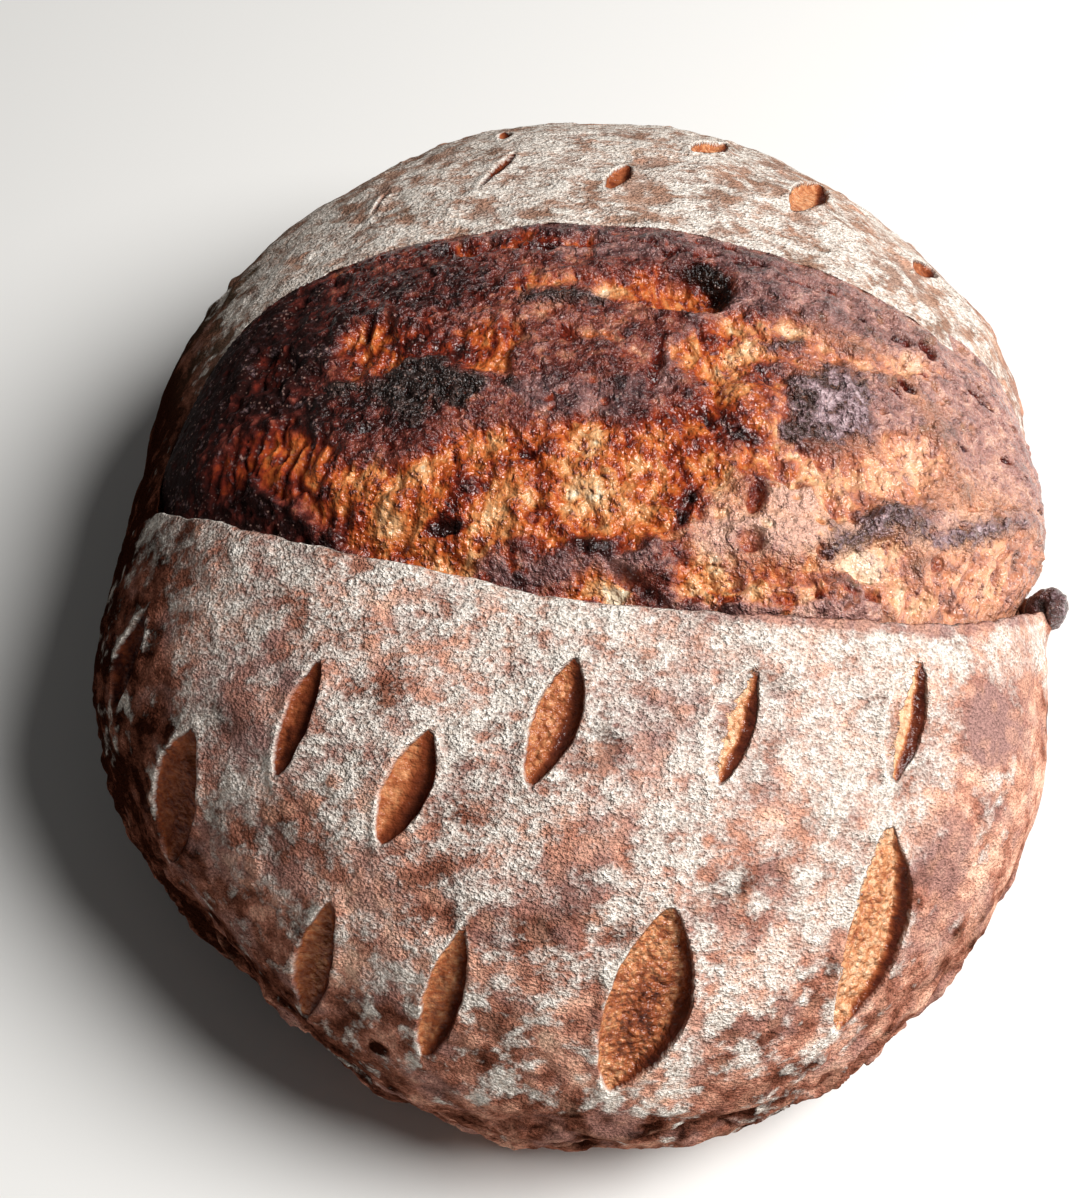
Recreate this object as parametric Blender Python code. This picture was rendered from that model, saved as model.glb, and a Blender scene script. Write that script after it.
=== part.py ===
# Round sourdough loaf, baked with one deep score that burst open across the crown and a
# pattern of small leaf cuts on the floured crust around it. It is one closed body.
# Blender units are metres, +Z is up. The origin is the middle of the flat base, -Y is the
# side of the front crust, and the score runs from left (-X) to right (+X).
#
# The skin is laid out on a flat chart. A chart point (u, w) lies at bearing atan2(w, u),
# and its distance v from the chart's middle says how far down the loaf it is: 0 is the
# crown, 1 the widest line, FOOT the edge of the flat base and 2 the middle of the base.

import math

import bpy
import numpy as np

MM = 0.001

# The dome
CROWN_MM = 104.0  # height of the crown before the burst
WIDEST_MM = 33.0  # height of the widest line
FOOT = 1.35  # chart distance at which the skin reaches the flat base
TUCK = 0.2  # share of the reach that the foot tucks in by
PLAN_FULLNESS = 2.3  # roundness of the shoulder, seen as reach
RISE_FULLNESS = 2.1  # roundness of the shoulder, seen as height
# Centre to crust at sixteen even bearings, anticlockwise from +X
REACH_MM = (106, 118, 126, 131, 133, 127, 119, 111, 108, 116, 121, 127, 132, 131, 125, 113)
CENTRE_MM = (0.0, 0.8)  # moves the middle of the outline onto the origin

# The score, as chart points from its left end to its right end
FRONT_LIP = (
    (-0.61, -0.06), (-0.49, -0.105), (-0.26, -0.17), (0.0, -0.205),
    (0.27, -0.245), (0.46, -0.25), (0.72, -0.195), (0.95, -0.06),
)
BACK_LIP = (
    (-0.61, -0.06), (-0.635, 0.04), (-0.57, 0.155), (-0.45, 0.245), (-0.25, 0.262),
    (0.0, 0.238), (0.34, 0.194), (0.6, 0.135), (0.83, 0.06), (0.95, -0.06),
)
FRONT_LIFT_MM = 2.2  # how far the front lip stands off the dome
BACK_LIFT_MM = 0.4
LIFT_REACH_MM = 15.0  # distance from the lip over which the lift dies away
FRONT_STEP_MM = 4.2  # drop from the dome to the torn crumb behind the front lip
BACK_STEP_MM = 0.6
BULGE_MM = 3.4  # how far the torn crumb rises past the dome in the middle
# The burnt ear, where the front lip curls out near its right end
EAR_AT = (0.76, -0.18)
EAR_PULL_MM = (7.0, -1.5, 6.0)
EAR_REACH_MM = 5.0

# Hollows and plates on the torn crumb: chart point, half length, half width, lift in mm
CRUMB_FORMS = (
    (0.115, 0.14, 0.06, 0.045, -6.0),  # the burnt bubble
    (0.31, 0.02, 0.10, 0.065, 1.8),  # the right charred plate
    (-0.17, 0.015, 0.09, 0.04, 1.6),  # the left charred plate
    (0.34, -0.175, 0.06, 0.03, -2.0),  # the pale hollow under the ridge
    (0.42, -0.13, 0.30, 0.018, 2.2),  # the ridge
    (-0.16, -0.10, 0.24, 0.05, -1.6),  # the open torn crumb
)

# Leaf cuts: the chart points of both tips, width and depth in mm
LEAF_CUTS = (
    (-0.56, -0.20, -0.71, -0.35, 9.0, 3.5),
    (-0.49, -0.385, -0.62, -0.58, 12.0, 4.5),
    (-0.29, -0.295, -0.355, -0.435, 8.0, 4.0),
    (-0.15, -0.36, -0.215, -0.50, 9.5, 4.5),
    (-0.01, -0.27, -0.05, -0.41, 10.0, 4.5),
    (0.15, -0.285, 0.13, -0.40, 6.5, 3.5),
    (0.37, -0.285, 0.345, -0.415, 7.0, 3.5),
    (0.34, -0.485, 0.34, -0.78, 14.0, 5.0),
    (0.09, -0.555, 0.045, -0.85, 17.0, 5.5),
    (-0.13, -0.60, -0.22, -0.84, 10.5, 5.0),
    (-0.30, -0.60, -0.42, -0.835, 10.0, 4.5),
    (-0.07, 0.415, -0.105, 0.325, 4.5, 3.0),
    (0.06, 0.37, 0.03, 0.285, 6.0, 3.5),
    (0.20, 0.51, 0.135, 0.43, 7.0, 4.0),
    (0.34, 0.50, 0.265, 0.345, 9.5, 4.5),
    (0.50, 0.39, 0.44, 0.295, 7.0, 3.5),
    (-0.27, 0.66, -0.33, 0.86, 11.0, 4.5),
    (-0.01, 0.64, -0.05, 0.88, 12.0, 5.0),
    (0.28, 0.66, 0.27, 0.88, 12.0, 5.0),
    (0.58, 0.56, 0.60, 0.74, 9.0, 4.0),
    (-0.56, 0.42, -0.66, 0.55, 9.0, 4.0),
)

# Unevenness of the hand-shaped dough: (size of a lump, height of a lump), in mm
SWELLS_MM = ((72.0, 2.6), (27.0, 0.9))
CRUMB_LUMPS_MM = ((24.0, 1.8), (10.0, 0.9))

# Mesh steps
LIP_STEPS = 52  # along one lip
CRUMB_STEPS = 15  # across the torn crumb
SKIN_STEPS = 17  # from the lip to the foot
BASE_STEPS = 3
LEAF_STEPS = 8  # along one side of a leaf cut


def noise(points, seed):
    """Smooth random values from -1 to 1: random slopes on a cubic lattice, blended."""
    table = np.random.default_rng(seed).normal(size=(4096, 3))
    table /= np.linalg.norm(table, axis=1)[:, None]
    cell = np.floor(points).astype(int)
    inside = points - cell
    fade = inside**3 * (inside * (inside * 6 - 15) + 10)
    total = np.zeros(points.shape[:-1])
    for corner in np.ndindex(2, 2, 2):
        at = cell + corner
        slope = table[(at @ np.array([374761, 668265, 92837])) % 4096]
        weight = np.where(corner, fade, 1 - fade).prod(axis=-1)
        total += weight * ((inside - corner) * slope).sum(axis=-1)
    return total * 1.5


def reach(bearing):
    """The outline in mm: the trigonometric curve through REACH_MM."""
    waves = np.fft.rfft(REACH_MM) / len(REACH_MM)
    total = np.full(np.shape(bearing), waves[0].real)
    for k, wave in enumerate(waves[1:], 1):
        both = 1 if 2 * k == len(REACH_MM) else 2
        total += both * (wave.real * np.cos(k * bearing) - wave.imag * np.sin(k * bearing))
    return total


def dome(chart):
    """The smooth loaf without its score, in mm, at an array of chart points."""
    v = np.clip(np.hypot(chart[..., 0], chart[..., 1]), 1e-6, 2)
    bearing = np.arctan2(chart[..., 1], chart[..., 0])
    down = np.clip(v, 0, 1) * math.pi / 2
    curl = np.clip((v - 1) / (FOOT - 1), 0, 1) * math.pi / 2
    share = np.sin(down) ** (2 / PLAN_FULLNESS) - TUCK * (1 - np.cos(curl))
    share = np.where(v > FOOT, (1 - TUCK) * (2 - v) / (2 - FOOT), share)
    rise = np.cos(down).clip(0) ** (2 / RISE_FULLNESS) * (CROWN_MM - WIDEST_MM)
    height = rise + WIDEST_MM * (1 - np.sin(curl))
    out = reach(bearing) * share
    x = out * np.cos(bearing) - CENTRE_MM[0]
    y = out * np.sin(bearing) - CENTRE_MM[1]
    return np.stack([x, y, np.where(v >= FOOT, 0, height)], axis=-1)


def outward(chart):
    """The dome's outward normal, from its slopes along both chart directions."""
    step = np.array([0.004, 0.0])
    along_u = dome(chart + step) - dome(chart - step)
    along_w = dome(chart + step[::-1]) - dome(chart - step[::-1])
    normal = np.cross(along_u, along_w)
    return normal / np.linalg.norm(normal, axis=-1, keepdims=True)


def swell(chart):
    """The lumps of the shaped dough in mm. They die away at the foot, which stays flat."""
    points = dome(chart)
    total = sum(high * noise(points / size, 11 + k) for k, (size, high) in enumerate(SWELLS_MM))
    v = np.hypot(chart[..., 0], chart[..., 1])
    return total * np.clip((FOOT - v) / 0.3, 0, 1)


def curve_through(points, shares):
    """The smooth curve through the given points, read at shares of its length."""
    points = np.array(points)
    ends = np.vstack([2 * points[0] - points[1], points, 2 * points[-1] - points[-2]])
    t = np.linspace(0, 1, 24, endpoint=False)[:, None]
    runs = []
    for a, b, c, d in zip(ends, ends[1:], ends[2:], ends[3:]):
        runs.append(b + 0.5 * t * (c - a + t * (2 * a - 5 * b + 4 * c - d + t * (3 * (b - c) + d - a))))
    fine = np.vstack([*runs, points[-1:]])
    length = np.r_[0, np.linalg.norm(np.diff(fine, axis=0), axis=1).cumsum()]
    wanted = np.asarray(shares) * length[-1]
    return np.stack([np.interp(wanted, length, fine[:, k]) for k in (0, 1)], axis=-1)


def lip_loop():
    """Both lips as one loop of chart points, and each point's side (1 front, 0 back)."""
    shares = (1 - np.cos(np.linspace(0, math.pi, LIP_STEPS + 1))) / 2
    front = curve_through(FRONT_LIP, shares)
    back = curve_through(BACK_LIP, shares)
    loop = np.vstack([front, back[-2:0:-1]])
    open_share = np.sqrt(np.sin(np.linspace(0, math.pi, LIP_STEPS + 1)).clip(0))
    opening = np.r_[open_share, open_share[-2:0:-1]]
    is_front = np.r_[np.ones(LIP_STEPS + 1), np.zeros(LIP_STEPS - 1)]
    return front, back, loop, opening, is_front


def ear_pull(points):
    """How far each point moves with the burnt ear, in mm."""
    at = dome(np.array(EAR_AT))
    near = np.exp(-((np.linalg.norm(points - at, axis=-1) / EAR_REACH_MM) ** 2))
    return near[..., None] * np.array(EAR_PULL_MM)


def crumb_lift(chart, across, opening):
    """Height of the torn crumb over the dome in mm. across is 0 at the front lip."""
    bulge = BULGE_MM * np.sin(math.pi * across) ** 0.8
    step = FRONT_STEP_MM * (1 - across) ** 6 + BACK_STEP_MM * across**6
    points = dome(chart)
    lumps = sum(high * noise(points / size, 21 + k) for k, (size, high) in enumerate(CRUMB_LUMPS_MM))
    lumps = lumps * np.sin(math.pi * across) ** 0.5
    for u, w, half_long, half_wide, lift in CRUMB_FORMS:
        away = ((chart[..., 0] - u) / half_long) ** 2 + ((chart[..., 1] - w) / half_wide) ** 2
        lumps = lumps + lift * np.exp(-(away**1.5))
    return (bulge + lumps) * opening - step * opening


def skin_rings(loop, opening, is_front):
    """Rings of points from the lips' top edge down over the crust to the foot."""
    half = LIP_STEPS
    turn = np.pi * (1 + np.arange(2 * half) / half)
    foot = FOOT * np.stack([np.cos(turn), np.sin(turn)], axis=-1)
    lip_points = dome(loop)
    lift = np.where(is_front > 0, FRONT_LIFT_MM, BACK_LIFT_MM) * opening
    rings = []
    for share in (np.arange(SKIN_STEPS + 1) / SKIN_STEPS) ** 1.15:
        chart = loop + (foot - loop) * share
        points = dome(chart)
        from_lip = np.linalg.norm(points - lip_points, axis=-1)
        height = swell(chart) + lift * np.exp(-((from_lip / LIFT_REACH_MM) ** 2))
        rings.append(points + outward(chart) * height[:, None] + ear_pull(points))
    rings[-1][:, 2] = 0.0
    return rings, foot


def crumb_grid(front, back, opening):
    """Points of the torn crumb: one row per step from the front lip to the back lip."""
    across = np.linspace(0, 1, CRUMB_STEPS + 1)[:, None]
    chart = front + (back - front) * across[..., None]
    height = crumb_lift(chart, across, opening[: LIP_STEPS + 1]) + swell(chart)
    return dome(chart) + outward(chart) * height[..., None]


def loaf_mesh():
    """The whole skin as one closed mesh."""
    front, back, loop, opening, is_front = lip_loop()
    crumb = crumb_grid(front, back, opening)
    rings, foot = skin_rings(loop, opening, is_front)
    for share in np.arange(1, BASE_STEPS + 1) / (BASE_STEPS + 1):
        rings.append(dome(foot * (1 + (2 / FOOT - 1) * share)) * (1, 1, 0))
    around = 2 * LIP_STEPS
    sunk = np.vstack([crumb[0], crumb[-1][-2:0:-1]])
    blocks = [sunk, *rings, crumb[1:-1, 1:-1].reshape(-1, 3), dome(np.array([[2.0, 0.0]])) * (1, 1, 0)]
    points = np.vstack(blocks) * MM
    pole = len(points) - 1

    faces = []
    for row in range(len(rings)):
        here, there = row * around, (row + 1) * around
        for k in range(around):
            after = (k + 1) % around
            faces.append((here + k, there + k, there + after, here + after))
    last = len(rings) * around
    faces += [(last + k, pole, last + (k + 1) % around) for k in range(around)]

    inner = (len(rings) + 1) * around

    def crumb_point(row, column):
        """The number of a crumb point. Its first and last rows and its ends are lip points."""
        if row == 0 or column in (0, LIP_STEPS):
            return column
        if row == CRUMB_STEPS:
            return around - column
        return inner + (row - 1) * (LIP_STEPS - 1) + column - 1

    for row in range(CRUMB_STEPS):
        for column in range(LIP_STEPS):
            corners = [
                crumb_point(row, column),
                crumb_point(row, column + 1),
                crumb_point(row + 1, column + 1),
                crumb_point(row + 1, column),
            ]
            faces.append(tuple(dict.fromkeys(corners)))
    mesh = bpy.data.meshes.new("loaf")
    mesh.from_pydata(points.tolist(), [], faces)
    return mesh


def leaf_cutter(tip_a, tip_b, width, depth):
    """Points and faces of one boat-shaped cutter, pointed at both ends."""
    middle = (np.array(tip_a) + tip_b) / 2
    ends = dome(np.array([tip_a, tip_b]))
    along = (ends[1] - ends[0]) / 2
    up = outward(middle)
    side = np.cross(up, along / np.linalg.norm(along))
    centre = dome(middle) + up * swell(middle)
    sag = (centre - ends.mean(axis=0)) @ up
    points, rows = [], []
    for k in range(2 * LEAF_STEPS + 1):
        a = k / LEAF_STEPS - 1
        wide = width / 2 * (1 - a * a) ** 0.9
        keel = -depth * (1 - a * a) ** 0.6 - sag * a * a
        line = centre + along * a
        if abs(a) == 1:
            rows.append([len(points)] * 4)
            points.append(line - up * (sag + 0.5))
            continue
        rows.append([len(points) + j for j in range(4)])
        high = width / 2 + 3.0
        for across, height in ((-1.25, high), (-0.55, keel), (0.75, keel), (1.25, high)):
            points.append(line + side * wide * across + up * height)
    faces = []
    for here, there in zip(rows, rows[1:]):
        for j in range(4):
            corners = (here[j], here[(j + 1) % 4], there[(j + 1) % 4], there[j])
            faces.append(tuple(dict.fromkeys(corners)))
    return points, faces


def leaf_cutters():
    """All the leaf cuts' cutters as one hidden object."""
    points, faces = [], []
    for ua, wa, ub, wb, width, depth in LEAF_CUTS:
        boat, boat_faces = leaf_cutter((ua, wa), (ub, wb), width, depth)
        faces += [tuple(k + len(points) for k in face) for face in boat_faces]
        points += boat
    mesh = bpy.data.meshes.new("leaf_cutters")
    mesh.from_pydata((np.array(points) * MM).tolist(), [], faces)
    cutters = bpy.data.objects.new("leaf_cutters", mesh)
    bpy.context.scene.collection.objects.link(cutters)
    cutters.hide_render = True
    cutters.display_type = "WIRE"
    return cutters


def baked_crust():
    """Brown crust under a thin dusting of rye flour: matt and dry."""
    material = bpy.data.materials.new("baked_crust")
    material.use_nodes = True
    shader = material.node_tree.nodes["Principled BSDF"]
    shader.inputs["Base Color"].default_value = (0.34, 0.16, 0.085, 1)
    shader.inputs["Roughness"].default_value = 0.72
    shader.inputs["Metallic"].default_value = 0
    return material


def main():
    for old in list(bpy.data.objects):
        bpy.data.objects.remove(old)
    mesh = loaf_mesh()
    loaf = bpy.data.objects.new("loaf", mesh)
    bpy.context.scene.collection.objects.link(loaf)
    loaf.data.materials.append(baked_crust())
    cut = loaf.modifiers.new("leaf_cuts", "BOOLEAN")
    cut.operation = "DIFFERENCE"
    cut.solver = "EXACT"
    cut.object = leaf_cutters()
    mesh.shade_smooth()
    mesh.set_sharp_from_angle(angle=math.radians(40))


main()
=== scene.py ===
import math

import bpy
import numpy as np
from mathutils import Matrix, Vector


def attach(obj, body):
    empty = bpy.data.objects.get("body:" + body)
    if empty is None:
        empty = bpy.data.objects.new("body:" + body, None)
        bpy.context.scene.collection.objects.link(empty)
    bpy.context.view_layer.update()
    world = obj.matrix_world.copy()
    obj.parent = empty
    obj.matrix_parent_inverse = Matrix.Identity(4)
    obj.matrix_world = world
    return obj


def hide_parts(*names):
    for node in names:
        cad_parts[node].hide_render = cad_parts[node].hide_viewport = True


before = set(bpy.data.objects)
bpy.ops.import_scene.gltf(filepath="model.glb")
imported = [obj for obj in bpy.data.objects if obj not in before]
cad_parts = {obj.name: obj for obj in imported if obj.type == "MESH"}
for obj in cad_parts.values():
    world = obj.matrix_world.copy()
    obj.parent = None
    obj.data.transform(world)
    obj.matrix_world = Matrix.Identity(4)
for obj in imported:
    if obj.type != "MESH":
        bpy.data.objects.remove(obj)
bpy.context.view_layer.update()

mm = 0.001
primes = np.array([374761, 668265, 92837])  # spread lattice cells over the tables of random values


# an S-curve from 0 at low to 1 at high
def smooth(value, low, high):
    t = np.clip((value - low) / (high - low), 0, 1)
    return t * t * (3 - 2 * t)


# a bell of height 1 around middle
def bell(value, middle, width):
    return np.exp(-(((value - middle) / width) ** 2))


# gradient noise from -1 to 1: random slopes on a cubic lattice, blended with a smooth fade
def softNoise(points, seed):
    table = np.random.default_rng(seed).normal(size=(4096, 3))
    table /= np.linalg.norm(table, axis=1)[:, None]
    cell = np.floor(points)
    inside = points - cell
    fade = inside**3 * (inside * (inside * 6 - 15) + 10)
    key = cell.astype(int) @ primes
    total = 0
    for corner in np.ndindex(2, 2, 2):
        slope = table[(key + np.dot(corner, primes)) % 4096]
        weight = np.prod(np.where(corner, fade, 1 - fade), axis=-1)
        total += weight * ((inside - corner) * slope).sum(axis=-1)
    return total * 1.5


# several octaves of soft noise, each half as large and half as strong; size is the largest lump
def roughNoise(points, size, octaves, seed):
    return sum(softNoise(points / size * 2**k, seed + k) / 2**k for k in range(octaves))


# lumps of several kinds, each (size, height), added up
def lumpsOf(points, kinds, seed):
    return sum(high * softNoise(points / size, seed + k) for k, (size, high) in enumerate(kinds))


# cell noise: distance to the nearest of points scattered one to a cell, and that one's random share
def cellNoise(points, seed):
    table = np.random.default_rng(seed).random((4096, 4))
    cell = np.floor(points)
    inside = points - cell
    key = cell.astype(int) @ primes
    first = np.full(points.shape[:-1], 9.0)
    share = np.zeros(points.shape[:-1])
    for step in np.ndindex(3, 3, 3):
        step = np.array(step) - 1
        values = table[(key + step @ primes) % 4096]
        away = np.linalg.norm(step + values[..., :3] - inside, axis=-1)
        nearer = away < first
        share = np.where(nearer, values[..., 3], share)
        first = np.where(nearer, away, first)
    return first, share


# distance to a closed outline, positive inside: nearest edge, and a count of edges to the right
def insideBy(x, y, outline):
    nearest = np.full(x.shape, 1e9)
    inside = np.zeros(x.shape, bool)
    for (ax, ay), (bx, by) in zip(outline, outline[1:] + outline[:1]):
        dx, dy = bx - ax, by - ay + 1e-9
        t = np.clip(((x - ax) * dx + (y - ay) * dy) / (dx * dx + dy * dy), 0, 1)
        nearest = np.minimum(nearest, np.hypot(x - ax - t * dx, y - ay - t * dy))
        inside ^= ((ay > y) != (by > y)) & (x < dx * (y - ay) / dy + ax)
    return np.where(inside, nearest, -nearest)


# how far inside a set of outlines each point lies: the largest distance of any of them
def insideAny(x, y, outlines):
    return np.max([insideBy(x, y, outline) for outline in outlines], axis=0)


# an oval's own measure: 0 at its middle, 1 at its edge; turn is in degrees from +X
def ovalShare(x, y, middleX, middleY, halfLong, halfWide, turn):
    c, s = math.cos(math.radians(turn)), math.sin(math.radians(turn))
    along = (x - middleX) * c + (y - middleY) * s
    across = (y - middleY) * c - (x - middleX) * s
    return np.hypot(along / halfLong, across / halfWide)


# a value changed inside placed ovals; the change fades in from one share of an oval to another
def marked(value, x, y, marks, faint, full, fray=0):
    for *oval, change in marks:
        value = value + change * smooth(ovalShare(x, y, *oval) + fray, faint, full)
    return value


# the smooth curve through the given points, read at shares of its length
def curveThrough(points, shares):
    points = np.array(points, float)
    ends = np.vstack([2 * points[0] - points[1], points, 2 * points[-1] - points[-2]])
    t = np.linspace(0, 1, 24, endpoint=False)[:, None]
    runs = []
    for a, b, c, d in zip(ends, ends[1:], ends[2:], ends[3:]):
        bend = 2 * a - 5 * b + 4 * c - d + t * (3 * (b - c) + d - a)
        runs.append(b + 0.5 * t * (c - a + t * bend))
    fine = np.vstack([*runs, points[-1:]])
    length = np.r_[0, np.linalg.norm(np.diff(fine, axis=0), axis=1).cumsum()]
    wanted = np.asarray(shares) * length[-1]
    return np.stack([np.interp(wanted, length, fine[:, k]) for k in range(points.shape[1])], axis=-1)


# A chart point (u, w) lies at bearing atan2(w, u). Its distance from the chart's middle is 0 at
# the crown, 1 at the widest line, foot at the edge of the flat base and 2 at the base's middle.
dough = {
    "crown": 104,  # height of the crown before the burst
    "widest": 33,  # height of the widest line
    "foot": 1.35,
    "tuck": 0.2,  # share of the reach that the foot tucks in by
    "planFullness": 2.3,
    "riseFullness": 2.1,
    "reach": (106, 118, 126, 131, 133, 127, 119, 111, 108, 116, 121, 127, 132, 131, 125, 113),
    "centre": (0, 0.8),
    "swells": ((72, 2.6), (27, 0.9)),  # size of a lump, height of a lump
}


# centre to crust at a bearing: the trigonometric curve through the sixteen reaches
def reachAt(bearing):
    waves = np.fft.rfft(dough["reach"]) / len(dough["reach"])
    total = np.full(np.shape(bearing), waves[0].real)
    for k, wave in enumerate(waves[1:], 1):
        both = 1 if 2 * k == len(dough["reach"]) else 2
        total += both * (wave.real * np.cos(k * bearing) - wave.imag * np.sin(k * bearing))
    return total


# the smooth dome at chart points: a superellipse shoulder, a quarter-round tuck, a flat base
def domeAt(chart):
    foot, tuck = dough["foot"], dough["tuck"]
    v = np.clip(np.hypot(chart[..., 0], chart[..., 1]), 1e-6, 2)
    bearing = np.arctan2(chart[..., 1], chart[..., 0])
    down = np.clip(v, 0, 1) * math.pi / 2
    curl = np.clip((v - 1) / (foot - 1), 0, 1) * math.pi / 2
    share = np.sin(down) ** (2 / dough["planFullness"]) - tuck * (1 - np.cos(curl))
    share = np.where(v > foot, (1 - tuck) * (2 - v) / (2 - foot), share)
    rise = np.cos(down).clip(0) ** (2 / dough["riseFullness"]) * (dough["crown"] - dough["widest"])
    height = rise + dough["widest"] * (1 - np.sin(curl))
    out = reachAt(bearing) * share
    x = out * np.cos(bearing) - dough["centre"][0]
    y = out * np.sin(bearing) - dough["centre"][1]
    return np.stack([x, y, np.where(v >= foot, 0, height)], axis=-1)


# the dome's outward direction, from its slopes along both chart directions
def outwardAt(chart):
    step = np.array([0.004, 0])
    alongU = domeAt(chart + step) - domeAt(chart - step)
    alongW = domeAt(chart + step[::-1]) - domeAt(chart - step[::-1])
    normal = np.cross(alongU, alongW)
    return normal / np.linalg.norm(normal, axis=-1, keepdims=True)


# lumps of the hand-shaped dough, dying away at the foot
def swellAt(chart):
    points = domeAt(chart)
    total = lumpsOf(points, dough["swells"], 11)
    v = np.hypot(chart[..., 0], chart[..., 1])
    return total * np.clip((dough["foot"] - v) / 0.3, 0, 1)


score = {
    "frontLip": (
        (-0.61, -0.06), (-0.49, -0.105), (-0.26, -0.17), (0, -0.205), (0.27, -0.245), (0.46, -0.25),
        (0.72, -0.195), (0.95, -0.06),
    ),
    "backLip": (
        (-0.61, -0.06), (-0.635, 0.04), (-0.57, 0.155), (-0.45, 0.245), (-0.25, 0.262), (0, 0.238),
        (0.2, 0.226), (0.4, 0.204), (0.6, 0.16), (0.83, 0.075), (0.95, -0.06),
    ),
    "lift": (2.2, 0.2),  # how far the front and the back lip stand off the dome
    "liftReach": 15,
    "flapDepth": (4.6, 0.8),  # how deep the front and the back edge of the crust reach
    # the flap's edge in shares of its depth: distance towards the opening, height
    "flapEdge": ((-1.6, -1.15), (-0.8, -1), (-0.2, -0.8), (0.1, -0.5), (0.16, -0.22), (0.08, -0.04), (0, 0)),
    "wobble": 0.55,  # unevenness of the torn lips
}


# The crust is laid out in rings round the score. turn runs from 0 at the score's left end along
# the front lip to 1 at its right end, and back along the back lip to 2.
def lipAt(turn):
    turn = turn % 2
    front = curveThrough(score["frontLip"], np.clip(turn, 0, 1))
    back = curveThrough(score["backLip"], np.clip(2 - turn, 0, 1))
    return np.where((turn <= 1)[..., None], front, back)


# a value for the front lip and one for the back lip, fading to a third at the score's ends
def alongLips(turn, pair):
    turn = turn % 2
    value = np.where(turn <= 1, pair[0], pair[1])
    return value * (0.3 + 0.7 * np.sin(math.pi * (turn % 1)).clip(0) ** 0.5)


# distance from the points to one lip, positive on the opening's side of it
def lipDistance(points, lip, side):
    line = domeAt(curveThrough(lip, np.linspace(0, 1, 160)))
    nearest = np.full(points.shape[:-1], 1e9)
    signed = nearest.copy()
    for a, b in zip(line, line[1:]):
        away = points - (a + b) / 2
        squared = (away**2).sum(axis=-1)
        closer = squared < nearest
        nearest = np.where(closer, squared, nearest)
        turned = (b[0] - a[0]) * away[..., 1] - (b[1] - a[1]) * away[..., 0]
        signed = np.where(closer, np.sign(turned) * side, signed)
    return np.sqrt(nearest) * signed


# tips a and b as chart points, width and depth, belly (how far the leaf bows to the right), tone
# (0 golden crumb, 1 dark; the dark tones of the leaves on the shaded left are partly painted shade),
# the width of the painted shade on its steep right wall, how bubbly its floor is, and how far the
# floured crust runs down over its left side
leafCuts = (
    (-0.57, -0.21, -0.69, -0.34, 9, 2.4, 0, 0.85, 2, 0.1, 0),
    (-0.475, -0.37, -0.63, -0.58, 14, 2.8, -0.5, 0.62, 2.4, 0.2, 0),
    (-0.268, -0.283, -0.353, -0.44, 6.3, 2.2, 0.3, 0.7, 3.2, 0.2, 0),
    (-0.145, -0.35, -0.22, -0.5, 9.5, 2.6, 0.6, 0.4, 5, 0.3, 0),
    (-0.005, -0.255, -0.052, -0.405, 9.5, 2.6, 0.6, 0.4, 3.6, 0.8, 0.1),
    (0.155, -0.275, 0.12, -0.41, 9, 1.8, -0.6, 0.05, 2.6, 0.9, 1),
    (0.354, -0.28, 0.332, -0.425, 9.5, 1.8, -0.4, 0.02, 2.8, 0.8, 1),
    (0.34, -0.458, 0.345, -0.785, 15, 3.2, 2.2, 0.16, 1.8, 1, 0.45),
    (0.09, -0.533, 0.033, -0.84, 16.5, 3.6, 1.5, 0.33, 1.9, 1, 0),
    (-0.125, -0.575, -0.212, -0.825, 7.8, 2.8, 0.6, 0.4, 2.2, 0.5, 0),
    (-0.293, -0.58, -0.41, -0.81, 9, 2.6, 0, 0.44, 2.2, 0.4, 0),
    (-0.07, 0.47, -0.115, 0.345, 3, 1.6, 0, 0.75, 1.2, 0.3, 0),
    (0.06, 0.4, 0.03, 0.315, 5.5, 2.4, 0.3, 0.55, 2, 0.3, 0),
    (0.205, 0.57, 0.14, 0.455, 7.5, 3, 0.3, 0.36, 2, 0.5, 0),
    (0.34, 0.515, 0.25, 0.33, 9, 3.2, 0.4, 0.28, 2.2, 0.5, 0),
    (0.53, 0.43, 0.45, 0.33, 7, 2.6, 0.3, 0.5, 2, 0.5, 0),
    (-0.24, 0.44, -0.262, 0.375, 1.6, 1.2, 0, 0.6, 0.8, 0.2, 0),
    (-0.1, 0.6, -0.09, 0.545, 4, 2.4, 0, 0.5, 1.6, 0.3, 0),
    (-0.27, 0.66, -0.33, 0.86, 11, 3.2, 0, 0.5, 2.4, 0.4, 0),
    (-0.01, 0.7, -0.05, 0.92, 12, 3.4, 0, 0.42, 2.4, 0.7, 0),
    (0.28, 0.68, 0.27, 0.9, 12, 3.4, 0, 0.3, 2.2, 0.8, 0),
    (0.58, 0.56, 0.6, 0.74, 9, 3, 0, 0.25, 2.2, 0.8, 0),
    (-0.56, 0.42, -0.66, 0.55, 9, 3, 0, 0.75, 2.4, 0.2, 0),
)


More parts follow.
